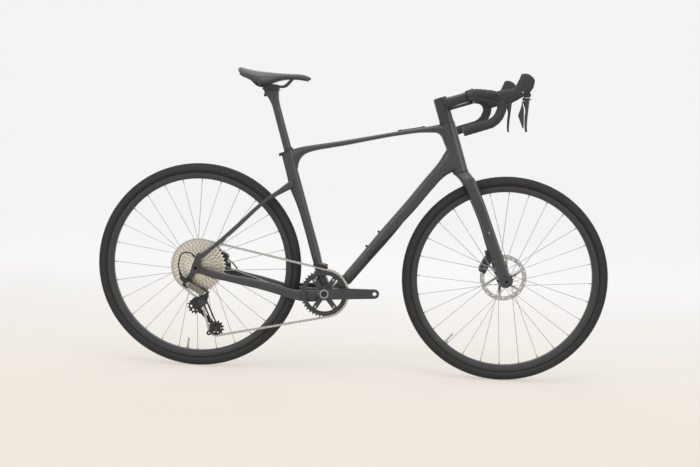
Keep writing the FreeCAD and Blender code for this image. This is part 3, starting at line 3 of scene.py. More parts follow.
import bpy
from bpy.props import FloatProperty, FloatVectorProperty, IntProperty, PointerProperty
from bpy.types import Operator, Panel, PropertyGroup
from mathutils import Matrix, Vector


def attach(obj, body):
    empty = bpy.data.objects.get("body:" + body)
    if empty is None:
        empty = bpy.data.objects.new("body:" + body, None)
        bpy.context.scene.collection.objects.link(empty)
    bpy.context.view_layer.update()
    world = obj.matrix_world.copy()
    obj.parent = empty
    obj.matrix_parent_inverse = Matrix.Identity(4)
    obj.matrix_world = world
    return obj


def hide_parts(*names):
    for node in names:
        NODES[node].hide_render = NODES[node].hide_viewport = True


bl_info = {
    "name": "Gravel Bike Looks",
    "version": (1, 0, 0),
    "blender": (4, 5, 0),
    "location": "View3D > Sidebar > Bike",
    "description": "Finishes, tyres, tape, saddle and small fasteners of a gravel bike",
    "category": "Object",
}

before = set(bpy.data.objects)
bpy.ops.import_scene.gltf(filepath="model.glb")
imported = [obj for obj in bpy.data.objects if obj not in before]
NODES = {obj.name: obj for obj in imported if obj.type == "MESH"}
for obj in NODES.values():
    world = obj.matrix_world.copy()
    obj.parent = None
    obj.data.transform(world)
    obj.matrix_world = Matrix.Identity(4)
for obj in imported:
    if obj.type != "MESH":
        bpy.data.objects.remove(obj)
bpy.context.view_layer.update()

IMAGE_WIDTH = 700
SENSOR = 36.0
REAR_AXLE = Vector((-0.5225, 0, 0.35))
FRONT_AXLE = Vector((0.5225, 0, 0.35))
CRANK_AXIS = Vector((-0.0874, 0, 0.28))
LEFT = Vector((0, 1, 0))
FIRST_COG = 0.0258
COG_PITCH = 0.00345
TYRE_RADIUS = 0.35
HEAD_TOP = Vector((0.300, 0, 0.868))
HEAD_LENGTH = 0.168
STEERING_TILT = math.radians(18.5)
STEERING_UP = Vector((-math.sin(STEERING_TILT), 0, math.cos(STEERING_TILT)))
TOP_CAP_HEIGHT = 0.0905
SEAT_TUBE_LEAN = math.radians(17)
BOTTLE_BOLT_PITCH = 0.064


class BikeSizes(PropertyGroup):
    knob_height: FloatProperty(
        name="Knob height", description="Height of the tread knobs above the casing",
        default=0.0013, subtype="DISTANCE", unit="LENGTH")
    knob_pitch: FloatProperty(
        name="Knob pitch", description="Distance from knob to knob round the tyre",
        default=0.0105, subtype="DISTANCE", unit="LENGTH")
    tape_pitch: FloatProperty(
        name="Tape pitch", description="Distance from wrap to wrap along the handlebar",
        default=0.0175, subtype="DISTANCE", unit="LENGTH")
    tape_step: FloatProperty(
        name="Tape step", description="Rise of each wrap over the one before",
        default=0.0009, subtype="DISTANCE", unit="LENGTH")
    seam_depth: FloatProperty(
        name="Seam depth", description="Depth of the seam along the saddle's flank",
        default=0.0011, subtype="DISTANCE", unit="LENGTH")
    saddle_rows: IntProperty(
        name="Saddle rows", description="Cross sections along the saddle", default=84, min=20)


class BikeColours(PropertyGroup):
    paint: FloatVectorProperty(
        name="Paint", description="Paint of frame, fork and seatpost", subtype="COLOR", size=3,
        default=(0.039, 0.038, 0.0365), min=0, max=1)
    alloy: FloatVectorProperty(
        name="Black alloy", description="Cranks, hubs and derailleur", subtype="COLOR", size=3,
        default=(0.030, 0.030, 0.030), min=0, max=1)
    rubber: FloatVectorProperty(
        name="Rubber", description="Hoods, tape and guards", subtype="COLOR", size=3,
        default=(0.024, 0.0235, 0.023), min=0, max=1)
    tread: FloatVectorProperty(
        name="Tyre", description="Tyre rubber", subtype="COLOR", size=3,
        default=(0.023, 0.0225, 0.022), min=0, max=1)
    steel: FloatVectorProperty(
        name="Steel", description="Chain, rotors and spokes", subtype="COLOR", size=3,
        default=(0.56, 0.55, 0.53), min=0, max=1)
    champagne: FloatVectorProperty(
        name="Cassette", description="Nickel plated cassette", subtype="COLOR", size=3,
        default=(0.94, 0.87, 0.76), min=0, max=1)


class BikeStage(PropertyGroup):
    camera_place: FloatVectorProperty(
        name="Camera", description="Camera position", subtype="TRANSLATION", unit="LENGTH",
        size=3, default=(0.0865, -3.303, 0.8292))
    camera_turns: FloatVectorProperty(
        name="Camera turns", description="Yaw, downward pitch and roll of the camera",
        subtype="EULER", unit="ROTATION", size=3, default=(-0.02944, 0.1046, 0.04282))
    focal_pixels: FloatProperty(
        name="Focal length", description="Focal length in pixels of the picture",
        default=972.8, min=100)
    wall: FloatVectorProperty(
        name="Wall", description="Colour of the wall", subtype="COLOR", size=3,
        default=(0.955, 0.950, 0.943), min=0, max=1)
    floor: FloatVectorProperty(
        name="Floor", description="Colour of the floor", subtype="COLOR", size=3,
        default=(0.855, 0.79, 0.71), min=0, max=1)


class Wire:
    """A socket of a shader: arithmetic on it adds Math nodes."""

    def __init__(self, finish, socket):
        self.finish = finish
        self.socket = socket

    def _math(self, operation, *values):
        settings = {"operation": operation}
        return self.finish.node("ShaderNodeMath", settings, dict(enumerate(values)))

    def __add__(self, other):
        return self._math("ADD", self, other)

    def __sub__(self, other):
        return self._math("SUBTRACT", self, other)

    def __rsub__(self, other):
        return self._math("SUBTRACT", other, self)

    def __mul__(self, other):
        return self._math("MULTIPLY", self, other)

    def __truediv__(self, other):
        return self._math("DIVIDE", self, other)

    def __pow__(self, other):
        return self._math("POWER", self, other)

    __radd__ = __add__
    __rmul__ = __mul__

    def wave(self):
        """Sine of the value."""
        return self._math("SINE", self)

    def above(self, limit):
        """One where the value is over a limit, and otherwise zero."""
        return self._math("GREATER_THAN", self, limit)

    def largest(self, other):
        """The larger of two values."""
        return self._math("MAXIMUM", self, other)

    def between(self, low, high):
        """Zero at low, one at high, and a straight ramp between them."""
        sockets = {"Value": self, "From Min": low, "From Max": high}
        return self.finish.node("ShaderNodeMapRange", {"clamp": True}, sockets)


class Finish:
    """A material, made from the Principled shader and the nodes that feed it."""

    def __init__(self, name, **constants):
        self.material = bpy.data.materials.new(name)
        self.material.use_nodes = True
        self.tree = self.material.node_tree
        self.shader = self.tree.nodes["Principled BSDF"]
        for socket, value in constants.items():
            self.feed(socket.replace("_", " ").title().replace("Ior", "IOR"), value)

    def feed(self, socket, value, node=None):
        """Set a socket, or link a wire to it."""
        target = (node or self.shader).inputs[socket]
        if isinstance(value, Wire):
            self.tree.links.new(value.socket, target)
        elif isinstance(value, (tuple, list)) and len(value) == 3 and target.type == "RGBA":
            target.default_value = (*value, 1)
        else:
            target.default_value = value

    def node(self, kind, settings=None, sockets=None, output=0):
        """Add a node, with its settings first and then its sockets."""
        made = self.tree.nodes.new(kind)
        for key, value in (settings or {}).items():
            if key == "stops":
                self._stops(made.color_ramp, value)
            else:
                setattr(made, key, value)
        for key, value in (sockets or {}).items():
            self.feed(key, value, made)
        return Wire(self, made.outputs[output])

    @staticmethod
    def _stops(ramp, stops):
        while len(ramp.elements) < len(stops):
            ramp.elements.new(0.5)
        for element, (place, colour) in zip(ramp.elements, stops):
            element.position = place
            element.color = (*colour, 1)

    def place(self):
        """Position in the part's frame, in metres."""
        return self.node("ShaderNodeTexCoord", output="Object")

    def axis(self, name, place=None):
        return self.node("ShaderNodeSeparateXYZ", None, {0: place or self.place()}, name)

    def noise(self, scale, detail=2.0, place=None, distortion=0.0):
        sockets = {
            "Vector": place or self.place(), "Scale": scale,
            "Detail": detail, "Distortion": distortion,
        }
        return self.node("ShaderNodeTexNoise", None, sockets)

    def cells(self, scale, place=None, feature="F1"):
        sockets = {"Vector": place or self.place(), "Scale": scale}
        return self.node("ShaderNodeTexVoronoi", {"feature": feature}, sockets, "Distance")

    def blend(self, factor, first, second):
        """Mix of two colours."""
        made = self.tree.nodes.new("ShaderNodeMix")
        made.data_type = "RGBA"
        for socket, value in ((0, factor), (6, first), (7, second)):
            self.feed(socket, value, made)
        return Wire(self, made.outputs[2])

    def bump(self, height, distance, strength=1.0):
        sockets = {"Height": height, "Distance": distance, "Strength": strength}
        self.feed("Normal", self.node("ShaderNodeBump", None, sockets, "Normal"))


def tinted(colour, factor):
    """A lighter or darker tone of a colour."""
    return tuple(min(1.0, c * factor) for c in colour)


def matt_paint(name, colour):
    """Matt paint with a fine fleck and a soft clear coat."""
    made = Finish(name, coat_weight=0.30, coat_roughness=0.24, specular_ior_level=0.5)
    cloud = made.noise(9.0, 3.0)
    fleck = made.noise(2600.0, 1.0).between(0.52, 0.78)
    ground = made.blend(cloud, tinted(colour, 0.90), tinted(colour, 1.08))
    made.feed("Base Color", made.blend(fleck, ground, tinted(colour, 1.7)))
    made.feed("Roughness", 0.32 + made.noise(60.0, 4.0) * 0.10)
    made.feed("Metallic", 0.10 + fleck * 0.25)
    made.bump(made.noise(1500.0, 2.0), 0.00006)
    return made.material


def black_alloy(name, colour, rough=0.34):
    """Black anodised aluminium with a faint grain."""
    made = Finish(name, specular_ior_level=0.55)
    grain = made.noise(900.0, 3.0)
    made.feed("Base Color", made.blend(grain, tinted(colour, 0.8), tinted(colour, 1.35)))
    made.feed("Metallic", 0.35 + made.noise(40.0) * 0.15)
    made.feed("Roughness", rough + made.noise(120.0, 4.0) * 0.14)
    made.bump(grain, 0.00005)
    return made.material


def moulded_plastic(name, colour, rough=0.42):
    """Moulded plastic with a fine eroded texture."""
    made = Finish(name, specular_ior_level=0.5)
    pits = made.noise(1800.0, 3.0)
    made.feed("Base Color", made.blend(pits, tinted(colour, 0.85), tinted(colour, 1.25)))
    made.feed("Roughness", rough + pits * 0.12)
    made.bump(pits, 0.00008)
    return made.material


def ribbed_rubber(name, colour, scale=620.0, depth=0.00022, rough=0.62):
    """Grippy rubber with a field of small dots."""
    made = Finish(name, specular_ior_level=0.4)
    dots = 1 - made.cells(scale).between(0.10, 0.55)
    dust = made.noise(30.0, 4.0)
    made.feed("Base Color", made.blend(dust, tinted(colour, 0.85), tinted(colour, 1.3)))
    made.feed("Roughness", rough + dust * 0.15)
    made.bump(dots, depth)
    return made.material


def tape_leather(name, colour):
    """Handlebar tape with a pebbled, slightly worn surface."""
    made = Finish(name, specular_ior_level=0.4)
    pebble = made.cells(850.0)
    dust = made.noise(210.0, 4.0).between(0.32, 0.68)
    worn = made.blend(dust, tinted(colour, 0.55), tinted(colour, 1.75))
    made.feed("Base Color", made.blend(pebble.between(0.2, 0.7), worn, tinted(colour, 0.5)))
    made.feed("Roughness", 0.56 + dust * 0.22)
    made.bump(1 - pebble + dust, 0.0005)
    return made.material


def wheel_place(made, centre):
    """Distance from a wheel's axis, and turn round it."""
    place = made.place()
    x = made.axis("X", place) - centre.x
    z = made.axis("Z", place) - centre.z
    radius = (x * x + z * z) ** 0.5
    turn = made.node("ShaderNodeMath", {"operation": "ARCTAN2"}, {0: z, 1: x})
    return radius, turn


def tyre_rubber(name, colour, centre):
    """Tyre rubber: dusty knobs, a smooth flank and moulding lines."""
    made = Finish(name, specular_ior_level=0.38)
    radius, turn = wheel_place(made, centre)
    dust = made.noise(26.0, 5.0)
    tread = radius.between(0.338, 0.347)
    flank = made.blend(dust, tinted(colour, 0.75), tinted(colour, 1.15))
    crown = made.blend(dust, tinted(colour, 0.95), tinted(colour, 1.5))
    made.feed("Base Color", made.blend(tread, flank, crown))
    made.feed("Roughness", 0.58 + tread * 0.16 + dust * 0.08)
    lines = (radius * 5200.0).wave() * (1 - tread)
    threads = (turn * 900.0 + radius * 2400.0).wave() * (1 - tread)
    made.bump(lines * 0.5 + threads * 0.25 + made.noise(1400.0, 3.0), 0.00012)
    return made.material


def rim_black(name, colour, centre):
    """Satin black rim with turning marks."""
    made = Finish(name, specular_ior_level=0.5)
    radius, _ = wheel_place(made, centre)
    marks = (radius * 9000.0).wave()
    cloud = made.noise(14.0, 3.0)
    made.feed("Base Color", made.blend(cloud, tinted(colour, 0.9), tinted(colour, 1.3)))
    made.feed("Metallic", 0.2 + cloud * 0.2)
    made.feed("Roughness", 0.40 + cloud * 0.12)
    made.bump(marks * 0.4 + made.noise(700.0, 2.0), 0.00005)
    return made.material


def bright_steel(name, colour, rough=0.28, stain=0.5):
    """Brushed or rolled steel with faint stains."""
    made = Finish(name, metallic=1.0)
    cloud = made.noise(70.0, 4.0)
    marks = made.noise(1100.0, 2.0)
    made.feed("Base Color", made.blend(cloud, tinted(colour, 1 - 0.35 * stain), tinted(colour, 1.08)))
    made.feed("Roughness", rough + marks * 0.18)
    made.bump(marks, 0.00004)
    return made.material


def turned_steel(name, colour, centre, rough=0.26):
    """Steel disc with marks that run round its axis."""
    made = Finish(name, metallic=1.0)
    radius, turn = wheel_place(made, centre)
    marks = made.node("ShaderNodeTexNoise", {"noise_dimensions": "2D"}, {
        "Vector": made.node("ShaderNodeCombineXYZ", None, {0: radius * 2500.0, 1: turn * 6.0}),
        "Scale": 1.0, "Detail": 3.0,
    })
    made.feed("Base Color", made.blend(marks, tinted(colour, 0.72), tinted(colour, 1.12)))
    made.feed("Roughness", rough + marks * 0.2)
    made.bump(marks, 0.00005)
    return made.material


def cassette_nickel_painted_shade(name, colour):
    """Plated cogs: toothed rims in the plated colour, with painted shade on the darker bodies inside
    them.
    """
    made = Finish(name, metallic=0.75, specular_ior_level=0.6)
    radius, turn = wheel_place(made, REAR_AXLE)
    cog = (made.axis("Y") + FIRST_COG) / -COG_PITCH
    pitch_circle = (0.0902 - cog * 0.0083).largest(0.0684 - cog * 0.0044)
    # mask of painted shade: zero on each cog's body inward of its teeth, one on the toothed rim
    rim_outside_shade = (radius - pitch_circle).between(-0.0060, -0.0040)
    marks = made.noise(1300.0, 2.0)
    rim = made.blend(marks, tinted(colour, 0.86), tinted(colour, 1.12))
    # painted shade: each cog's body is darkened to 0.62 of the plated colour, standing in for the
    # shadow of the next smaller cog in front of it
    made.feed("Base Color", made.blend(rim_outside_shade, tinted(colour, 0.62), rim))
    made.feed("Roughness", 0.44 - rim_outside_shade * 0.12 + marks * 0.1)
    made.bump(marks, 0.00004)
    return made.material


def saddle_skin(name, colour):
    """Grained synthetic leather with a soft sheen."""
    made = Finish(
        name, specular_ior_level=0.55, sheen_weight=0.35, sheen_roughness=0.35,
        coat_weight=0.25, coat_roughness=0.30)
    grain = made.cells(1500.0, feature="SMOOTH_F1")
    folds = made.noise(420.0, 4.0)
    made.feed("Base Color", made.blend(folds, tinted(colour, 0.8), tinted(colour, 1.35)))
    made.feed("Roughness", 0.32 + folds * 0.14)
    made.bump(grain * 0.7 + folds * 0.6, 0.00018)
    return made.material


def housing_sleeve(name, colour):
    """Glossy cable housing."""
    made = Finish(name, specular_ior_level=0.5, coat_weight=0.2, coat_roughness=0.12)
    cloud = made.noise(200.0, 2.0)
    made.feed("Base Color", made.blend(cloud, tinted(colour, 0.85), tinted(colour, 1.2)))
    made.feed("Roughness", 0.30 + cloud * 0.1)
    return made.material


FINISHES = {}


def finish_of(name):
    return FINISHES[name]


def coat(node, *names):
    """Give a CAD node one finish, or several that its faces then choose from."""
    mesh = NODES[node].data
    mesh.materials.clear()
    for name in names:
        mesh.materials.append(FINISHES[name])
    for face in mesh.polygons:
        face.material_index = 0
    return mesh


def recoat(node, index, chosen):
    """Use another of the node's finishes on the faces whose centre is chosen."""
    for face in NODES[node].data.polygons:
        if chosen(face.center):
            face.material_index = index


def piece_from(name, verts, faces, finish, body, slot, smooth=True):
    """A mesh piece that rides on a body."""
    mesh = bpy.data.meshes.new(name)
    mesh.from_pydata([tuple(v) for v in verts], [], faces)
    mesh.validate()
    if smooth:
        mesh.shade_smooth()
    mesh.materials.append(finish_of(finish))
    made = bpy.data.objects.new(name, mesh)
    bpy.context.scene.collection.objects.link(made)
    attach(made, body)
    return made


def across(axis):
    """Two directions at right angles to an axis."""
    helper = Vector((0, 0, 1)) if abs(axis.z) < 0.9 else Vector((1, 0, 0))
    first = axis.cross(helper).normalized()
    return first, axis.cross(first).normalized()


def turned(outline, centre, axis, sides=32, start=0.0):
    """Rings of (along, radius) points turned about an axis: points and faces."""
    first, second = across(axis)
    verts, faces = [], []
    for along, radius in outline:
        for i in range(sides):
            at = start + 2 * math.pi * i / sides
            out = first * math.cos(at) + second * math.sin(at)
            verts.append(centre + axis * along + out * radius)
    for row in range(len(outline) - 1):
        for i in range(sides):
            a, b = row * sides + i, row * sides + (i + 1) % sides
            faces.append((a, b, b + sides, a + sides))
    return verts, faces


def merge(*parts):
    """One list of points and faces from several."""
    verts, faces = [], []
    for part_verts, part_faces in parts:
        base = len(verts)
        verts += part_verts
        faces += [tuple(i + base for i in face) for face in part_faces]
    return verts, faces


def capped(outline, centre, axis, sides=32, start=0.0):
    """A turned outline that is closed at both ends."""
    verts, faces = turned(outline, centre, axis, sides, start)
    last = len(outline) - 1
    faces.append(tuple(reversed(range(sides))))
    faces.append(tuple(last * sides + i for i in range(sides)))
    return verts, faces


def hex_bolt(centre, axis, radius, height):
    """Round bolt head with a hexagon socket, seated on centre."""
    edge = radius * 0.16
    key = radius * 0.52
    depth = height * 0.55
    head, faces = turned([
        (0, radius * 0.96), (0, radius), (height - edge, radius), (height, radius - edge),
    ], centre, axis, 36)
    wall, wall_faces = turned([(height, key), (height - depth, key)], centre, axis, 6)
    base = len(head)
    verts = head + wall
    faces += [tuple(i + base for i in face) for face in wall_faces]
    rim_start = 3 * 36
    for i in range(6):
        low, high = i * 6, i * 6 + 6
        outer = [rim_start + k % 36 for k in range(low, high + 1)]
        faces.append((*outer, base + (i + 1) % 6, base + i))
    faces.append(tuple(base + 6 + i for i in range(6)))
    faces.append(tuple(reversed(range(36))))
    return verts, faces


def bolts(name, seats, finish, body, slot):
    """Several hexagon socket bolts as one piece."""
    made = merge(*[hex_bolt(Vector(c), Vector(a).normalized(), r, h) for c, a, r, h in seats])
    return piece_from(name, *made, finish, body, slot, smooth=False)


def bent_line(points, radii, step):
    """Points along straight runs that are joined by tangent bends."""
    line = [points[0]]
    for i, radius in enumerate(radii, 1):
        corner = points[i]
        back = (points[i - 1] - corner).normalized()
        ahead = (points[i + 1] - corner).normalized()
        half = back.angle(ahead) / 2
        first = corner + back * (radius / math.tan(half))
        inward = (back + ahead).normalized()
        hub = corner + inward * (radius / math.sin(half))
        spoke = first - hub
        turn = math.pi - 2 * half
        normal = back.cross(ahead).normalized()
        count = max(4, round(turn * radius / step))
        line.append(first)
        for k in range(1, count + 1):
            line.append(hub + Matrix.Rotation(-turn * k / count, 3, normal) @ spoke)
    line.append(points[-1])
    even = [line[0]]
    for a, b in zip(line, line[1:]):
        pieces = max(1, round((b - a).length / step))
        even += [a.lerp(b, k / pieces) for k in range(1, pieces + 1)]
    return even


def swept(line, radius_at, sides):
    """Tube round a line, whose radius may change along and round it."""
    verts, faces = [], []
    run = 0.0
    side = None
    for i, point in enumerate(line):
        ahead = (line[min(i + 1, len(line) - 1)] - line[max(i - 1, 0)]).normalized()
        if side is None:
            side = across(ahead)[0]
        side = (side - ahead * side.dot(ahead)).normalized()
        up = ahead.cross(side)
        if i:
            run += (point - line[i - 1]).length
        for k in range(sides):
            at = 2 * math.pi * k / sides
            out = side * math.cos(at) + up * math.sin(at)
            verts.append(point + out * radius_at(run, at))
    for row in range(len(line) - 1):
        for k in range(sides):
            a, b = row * sides + k, row * sides + (k + 1) % sides
            faces.append((a, b, b + sides, a + sides))
    faces.append(tuple(reversed(range(sides))))
    faces.append(tuple((len(line) - 1) * sides + k for k in range(sides)))
    return verts, faces


def flipped(verts):
    """Points on the other side of the bike."""
    return [Vector((v.x, -v.y, v.z)) for v in verts]


class BIKE_OT_finishes(Operator):
    """Make the finishes and put one on each CAD node"""

    bl_idname = "bike.finishes"
    bl_label = "Finishes"

    def execute(self, context):
        tone = context.scene.bike_colours
        paint, alloy = tuple(tone.paint), tuple(tone.alloy)
        rubber, tread = tuple(tone.rubber), tuple(tone.tread)
        steel, gold = tuple(tone.steel), tuple(tone.champagne)
        FINISHES.update({
            "paint": matt_paint("matt_paint", paint),
            "paint_dark": matt_paint("matt_paint_dark", tinted(paint, 0.62)),
            "alloy": black_alloy("black_alloy", alloy),
            "alloy_satin": black_alloy("satin_alloy", tinted(alloy, 1.7), 0.38),
            "plastic": moulded_plastic("moulded_plastic", tinted(alloy, 0.9)),
            "hood": ribbed_rubber("hood_rubber", tinted(rubber, 1.25)),
            "guard": ribbed_rubber("guard_rubber", tinted(rubber, 0.75), 900.0, 0.0001, 0.5),
            "tape": tape_leather("bar_tape_cork", tinted(rubber, 1.75)),
            "saddle": saddle_skin("saddle_skin", tinted(rubber, 1.7)),
            "sleeve": housing_sleeve("housing_sleeve", tinted(alloy, 0.7)),
            "tyre_front": tyre_rubber("front_tyre_rubber", tread, FRONT_AXLE),
            "tyre_rear": tyre_rubber("rear_tyre_rubber", tread, REAR_AXLE),
            "rim_front": rim_black("front_rim_black", tinted(alloy, 1.35), FRONT_AXLE),
            "rim_rear": rim_black("rear_rim_black", tinted(alloy, 1.35), REAR_AXLE),
            "spoke": bright_steel("spoke_steel", tinted(steel, 0.8), 0.30, 0.3),
            "chain": bright_steel("chain_steel", steel, 0.26, 0.8),
            "bolt": bright_steel("bolt_steel", tinted(steel, 0.75), 0.25, 0.5),
            "dark_bolt": bright_steel("black_bolt_steel", (0.09, 0.09, 0.092), 0.30, 0.4),
            "link": bright_steel("link_polish", tinted(steel, 0.45), 0.20, 0.4),
            "cassette": cassette_nickel_painted_shade("cassette_nickel_painted_shade", gold),
            "rotor_front": turned_steel("front_rotor_steel", steel, FRONT_AXLE),
            "rotor_rear": turned_steel("rear_rotor_steel", steel, REAR_AXLE),
            "pad": bright_steel("pad_backing", (0.20, 0.16, 0.12), 0.5, 0.8),
        })
        plain = {
            "paint": ["frame", "chainstays", "seatstays", "fork", "derailleur_hanger", "seatpost"],
            "paint_dark": ["stem", "stem_faceplate", "headset_stack"],
            "alloy": [
                "handlebar", "seat_clamp", "saddle_clamp", "knuckle",
                "derailleur_body", "front_hub", "rear_hub",
                "front_axle", "rear_axle", "cage",
            ],
            "alloy_satin": ["right_crank", "left_crank", "chainring", "front_caliper", "rear_caliper"],
            "plastic": [
                "lever_brackets", "right_lever_yoke", "right_brake_lever", "right_shift_lever",
                "left_brake_lever", "guide_pulley", "tension_pulley", "saddle_base",
            ],
            "hood": ["left_hood", "right_hood"],
            "guard": ["frame_guards"],
            "tape": ["bar_tape"],
            "saddle": ["saddle_cover"],
            "sleeve": ["cockpit_hoses", "rear_cables"],
            "tyre_front": ["front_tyre"],
            "tyre_rear": ["rear_tyre"],
            "rim_front": ["front_rim"],
            "rim_rear": ["rear_rim"],
            "spoke": ["front_spokes", "rear_spokes"],
            "chain": ["chain"],
            "bolt": ["bottom_bracket", "headset_bearings", "freehub"],
            "dark_bolt": ["bottle_bosses", "chainring_bolts"],
            "link": ["inner_link", "outer_link"],
            "cassette": ["cassette"],
            "rotor_front": ["front_rotor"],
            "rotor_rear": ["rear_rotor"],
            "pad": ["front_pad_left", "front_pad_right", "rear_pad_left", "rear_pad_right"],
        }
        for finish, nodes in plain.items():
            for node in nodes:
                coat(node, finish)
        left_out = sorted(set(NODES) - {n for nodes in plain.values() for n in nodes})
        if left_out:
            raise RuntimeError("no finish for " + ", ".join(left_out))
        for node, axle in (("front_rotor", FRONT_AXLE), ("rear_rotor", REAR_AXLE)):
            coat(node, "rotor_front" if axle is FRONT_AXLE else "rotor_rear", "alloy")
            recoat(node, 1, lambda c, a=axle: math.hypot(c.x - a.x, c.z - a.z) < 0.040)
        for node, axle in (("front_rim", FRONT_AXLE), ("rear_rim", REAR_AXLE)):
            coat(node, "rim_front" if axle is FRONT_AXLE else "rim_rear", "bolt")
            recoat(node, 1, lambda c, a=axle: math.hypot(c.x - a.x, c.z - a.z) < 0.2972)
        return {"FINISHED"}


class BIKE_OT_tyres(Operator):
    """Make both tyres with their knobs"""

    bl_idname = "bike.tyres"
    bl_label = "Tyres"

    def execute(self, context):
        for prefix, axle in (("front", FRONT_AXLE), ("rear", REAR_AXLE)):
            made = self.tyre(context.scene.bike_sizes, axle)
            body = prefix + "_wheel"
            tyre = piece_from(prefix + "_tyre_tread", *made, "tyre_" + prefix, body, "tyre")
            mesh = tyre.data
            mesh.shade_smooth()
            mesh.set_sharp_from_angle(angle=math.radians(32))
            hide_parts(prefix + "_tyre")
        return {"FINISHED"}

    @staticmethod
    def tyre(sizes, axle):
        knob = sizes.knob_height
        half = 0.0198 - knob * 0.3
        crown = TYRE_RADIUS - knob
        middle = 0.3315

        def casing(turn):
            """Point of the casing's section: height over the axle and side."""
            side = math.sin(turn) * half
            high = math.cos(turn)
            tall = (crown - middle) if high > 0 else (middle - 0.3165)
            return side, middle + high * tall

        bead = [(0.0126, 0.3172), (0.0122, 0.3135)]
        section = [(-side, radius) for side, radius in reversed(bead)]
        for k in range(-34, 35):
            section.append(casing(math.radians(k * 142 / 34)))
        verts, faces = turned(section + bead, axle, LEFT, 320)
        first, second = across(LEFT)
        rows = [
            (0.0, 0.0044, 0.0030, 0.0), (11.0, 0.0040, 0.0030, 0.5), (22.0, 0.0042, 0.0030, 0.0),
            (34.0, 0.0040, 0.0033, 0.5), (48.0, 0.0046, 0.0042, 0.0), (63.0, 0.0040, 0.0046, 0.5),
        ]
        count = round(2 * math.pi * TYRE_RADIUS / sizes.knob_pitch)
        for degrees, long, wide, phase in rows:
            for sign in ((1, -1) if degrees else (1,)):
                for i in range(count):
                    at = 2 * math.pi * (i + phase) / count
                    BIKE_OT_tyres.knob(
                        verts, faces, casing, (first, second, axle), at,
                        math.radians(degrees) * sign, long, wide, knob)
        return verts, faces

    @staticmethod
    def knob(verts, faces, casing, basis, at, degrees, long, wide, height):
        """Add one block that stands on the casing."""
        first, second, axle = basis
        base = len(verts)
        slope = wide / 2 / 0.0195
        for lift, shrink in ((-0.0004, 1.0), (height, 0.78)):
            for u, v in ((-1, -1), (1, -1), (1, 1), (-1, 1)):
                turn = degrees + v * slope * shrink
                side, radius = casing(turn)
                side += math.sin(degrees) * lift
                radius += math.cos(degrees) * lift
                swing = at + u * long / 2 / TYRE_RADIUS * shrink
                out = first * math.cos(swing) + second * math.sin(swing)
                verts.append(axle + LEFT * side + out * radius)
        a, b, c, d = range(base, base + 4)
        e, f, g, h = range(base + 4, base + 8)
        faces += [(e, f, g, h), (a, b, f, e), (b, c, g, f), (c, d, h, g), (d, a, e, h), (d, c, b, a)]


class BIKE_OT_tape(Operator):
    """Wind the handlebar tape and close it with bands and end plugs"""

    bl_idname = "bike.tape"
    bl_label = "Bar tape"

    def execute(self, context):
        sizes = context.scene.bike_sizes
        pitch, step = sizes.tape_pitch, sizes.tape_step
        corners = [
            Vector((0.3740, 0.052, 0.9645)), Vector((0.3740, 0.209, 0.9645)),
            Vector((0.4685, 0.212, 0.957)), Vector((0.4395, 0.226, 0.878)),
            Vector((0.3395, 0.232, 0.844)),
        ]
        line = bent_line(corners, [0.042, 0.037, 0.058], 0.0022)

        def wrap(run, at):
            lap = (run / pitch - at / (2 * math.pi)) % 1.0
            rise = lap if lap < 0.88 else (1 - lap) / 0.12 * 0.88
            return 0.0148 + step * rise

        tube = swept(line, wrap, 40)
        wound = merge(tube, (flipped(tube[0]), [tuple(reversed(f)) for f in tube[1]]))
        tape = piece_from("wound_tape", *wound, "tape", "front_end", "black_soft")
        tape.data.set_sharp_from_angle(angle=math.radians(40))
        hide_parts("bar_tape")
        ends = []
        out = (corners[-1] - corners[-2]).normalized()
        plug = [
            (-0.001, 0.0150), (0.0006, 0.0152), (0.0022, 0.0147), (0.0030, 0.0130), (0.0027, 0.0085),
            (0.0022, 0.0080),
        ]
        ends.append(capped(plug, corners[-1], out, 40))
        band = [(-0.006, 0.01525), (-0.006, 0.01565), (0.006, 0.01565), (0.006, 0.01525)]
        ends.append(turned(band, corners[0] + Vector((0, 0.004, 0)), LEFT, 40))
        both = []
        for verts, faces in ends:
            both += [(verts, faces), (flipped(verts), [tuple(reversed(f)) for f in faces])]
        trim = piece_from("tape_ends", *merge(*both), "plastic", "front_end", "black_plastic")
        trim.data.set_sharp_from_angle(angle=math.radians(35))
        return {"FINISHED"}


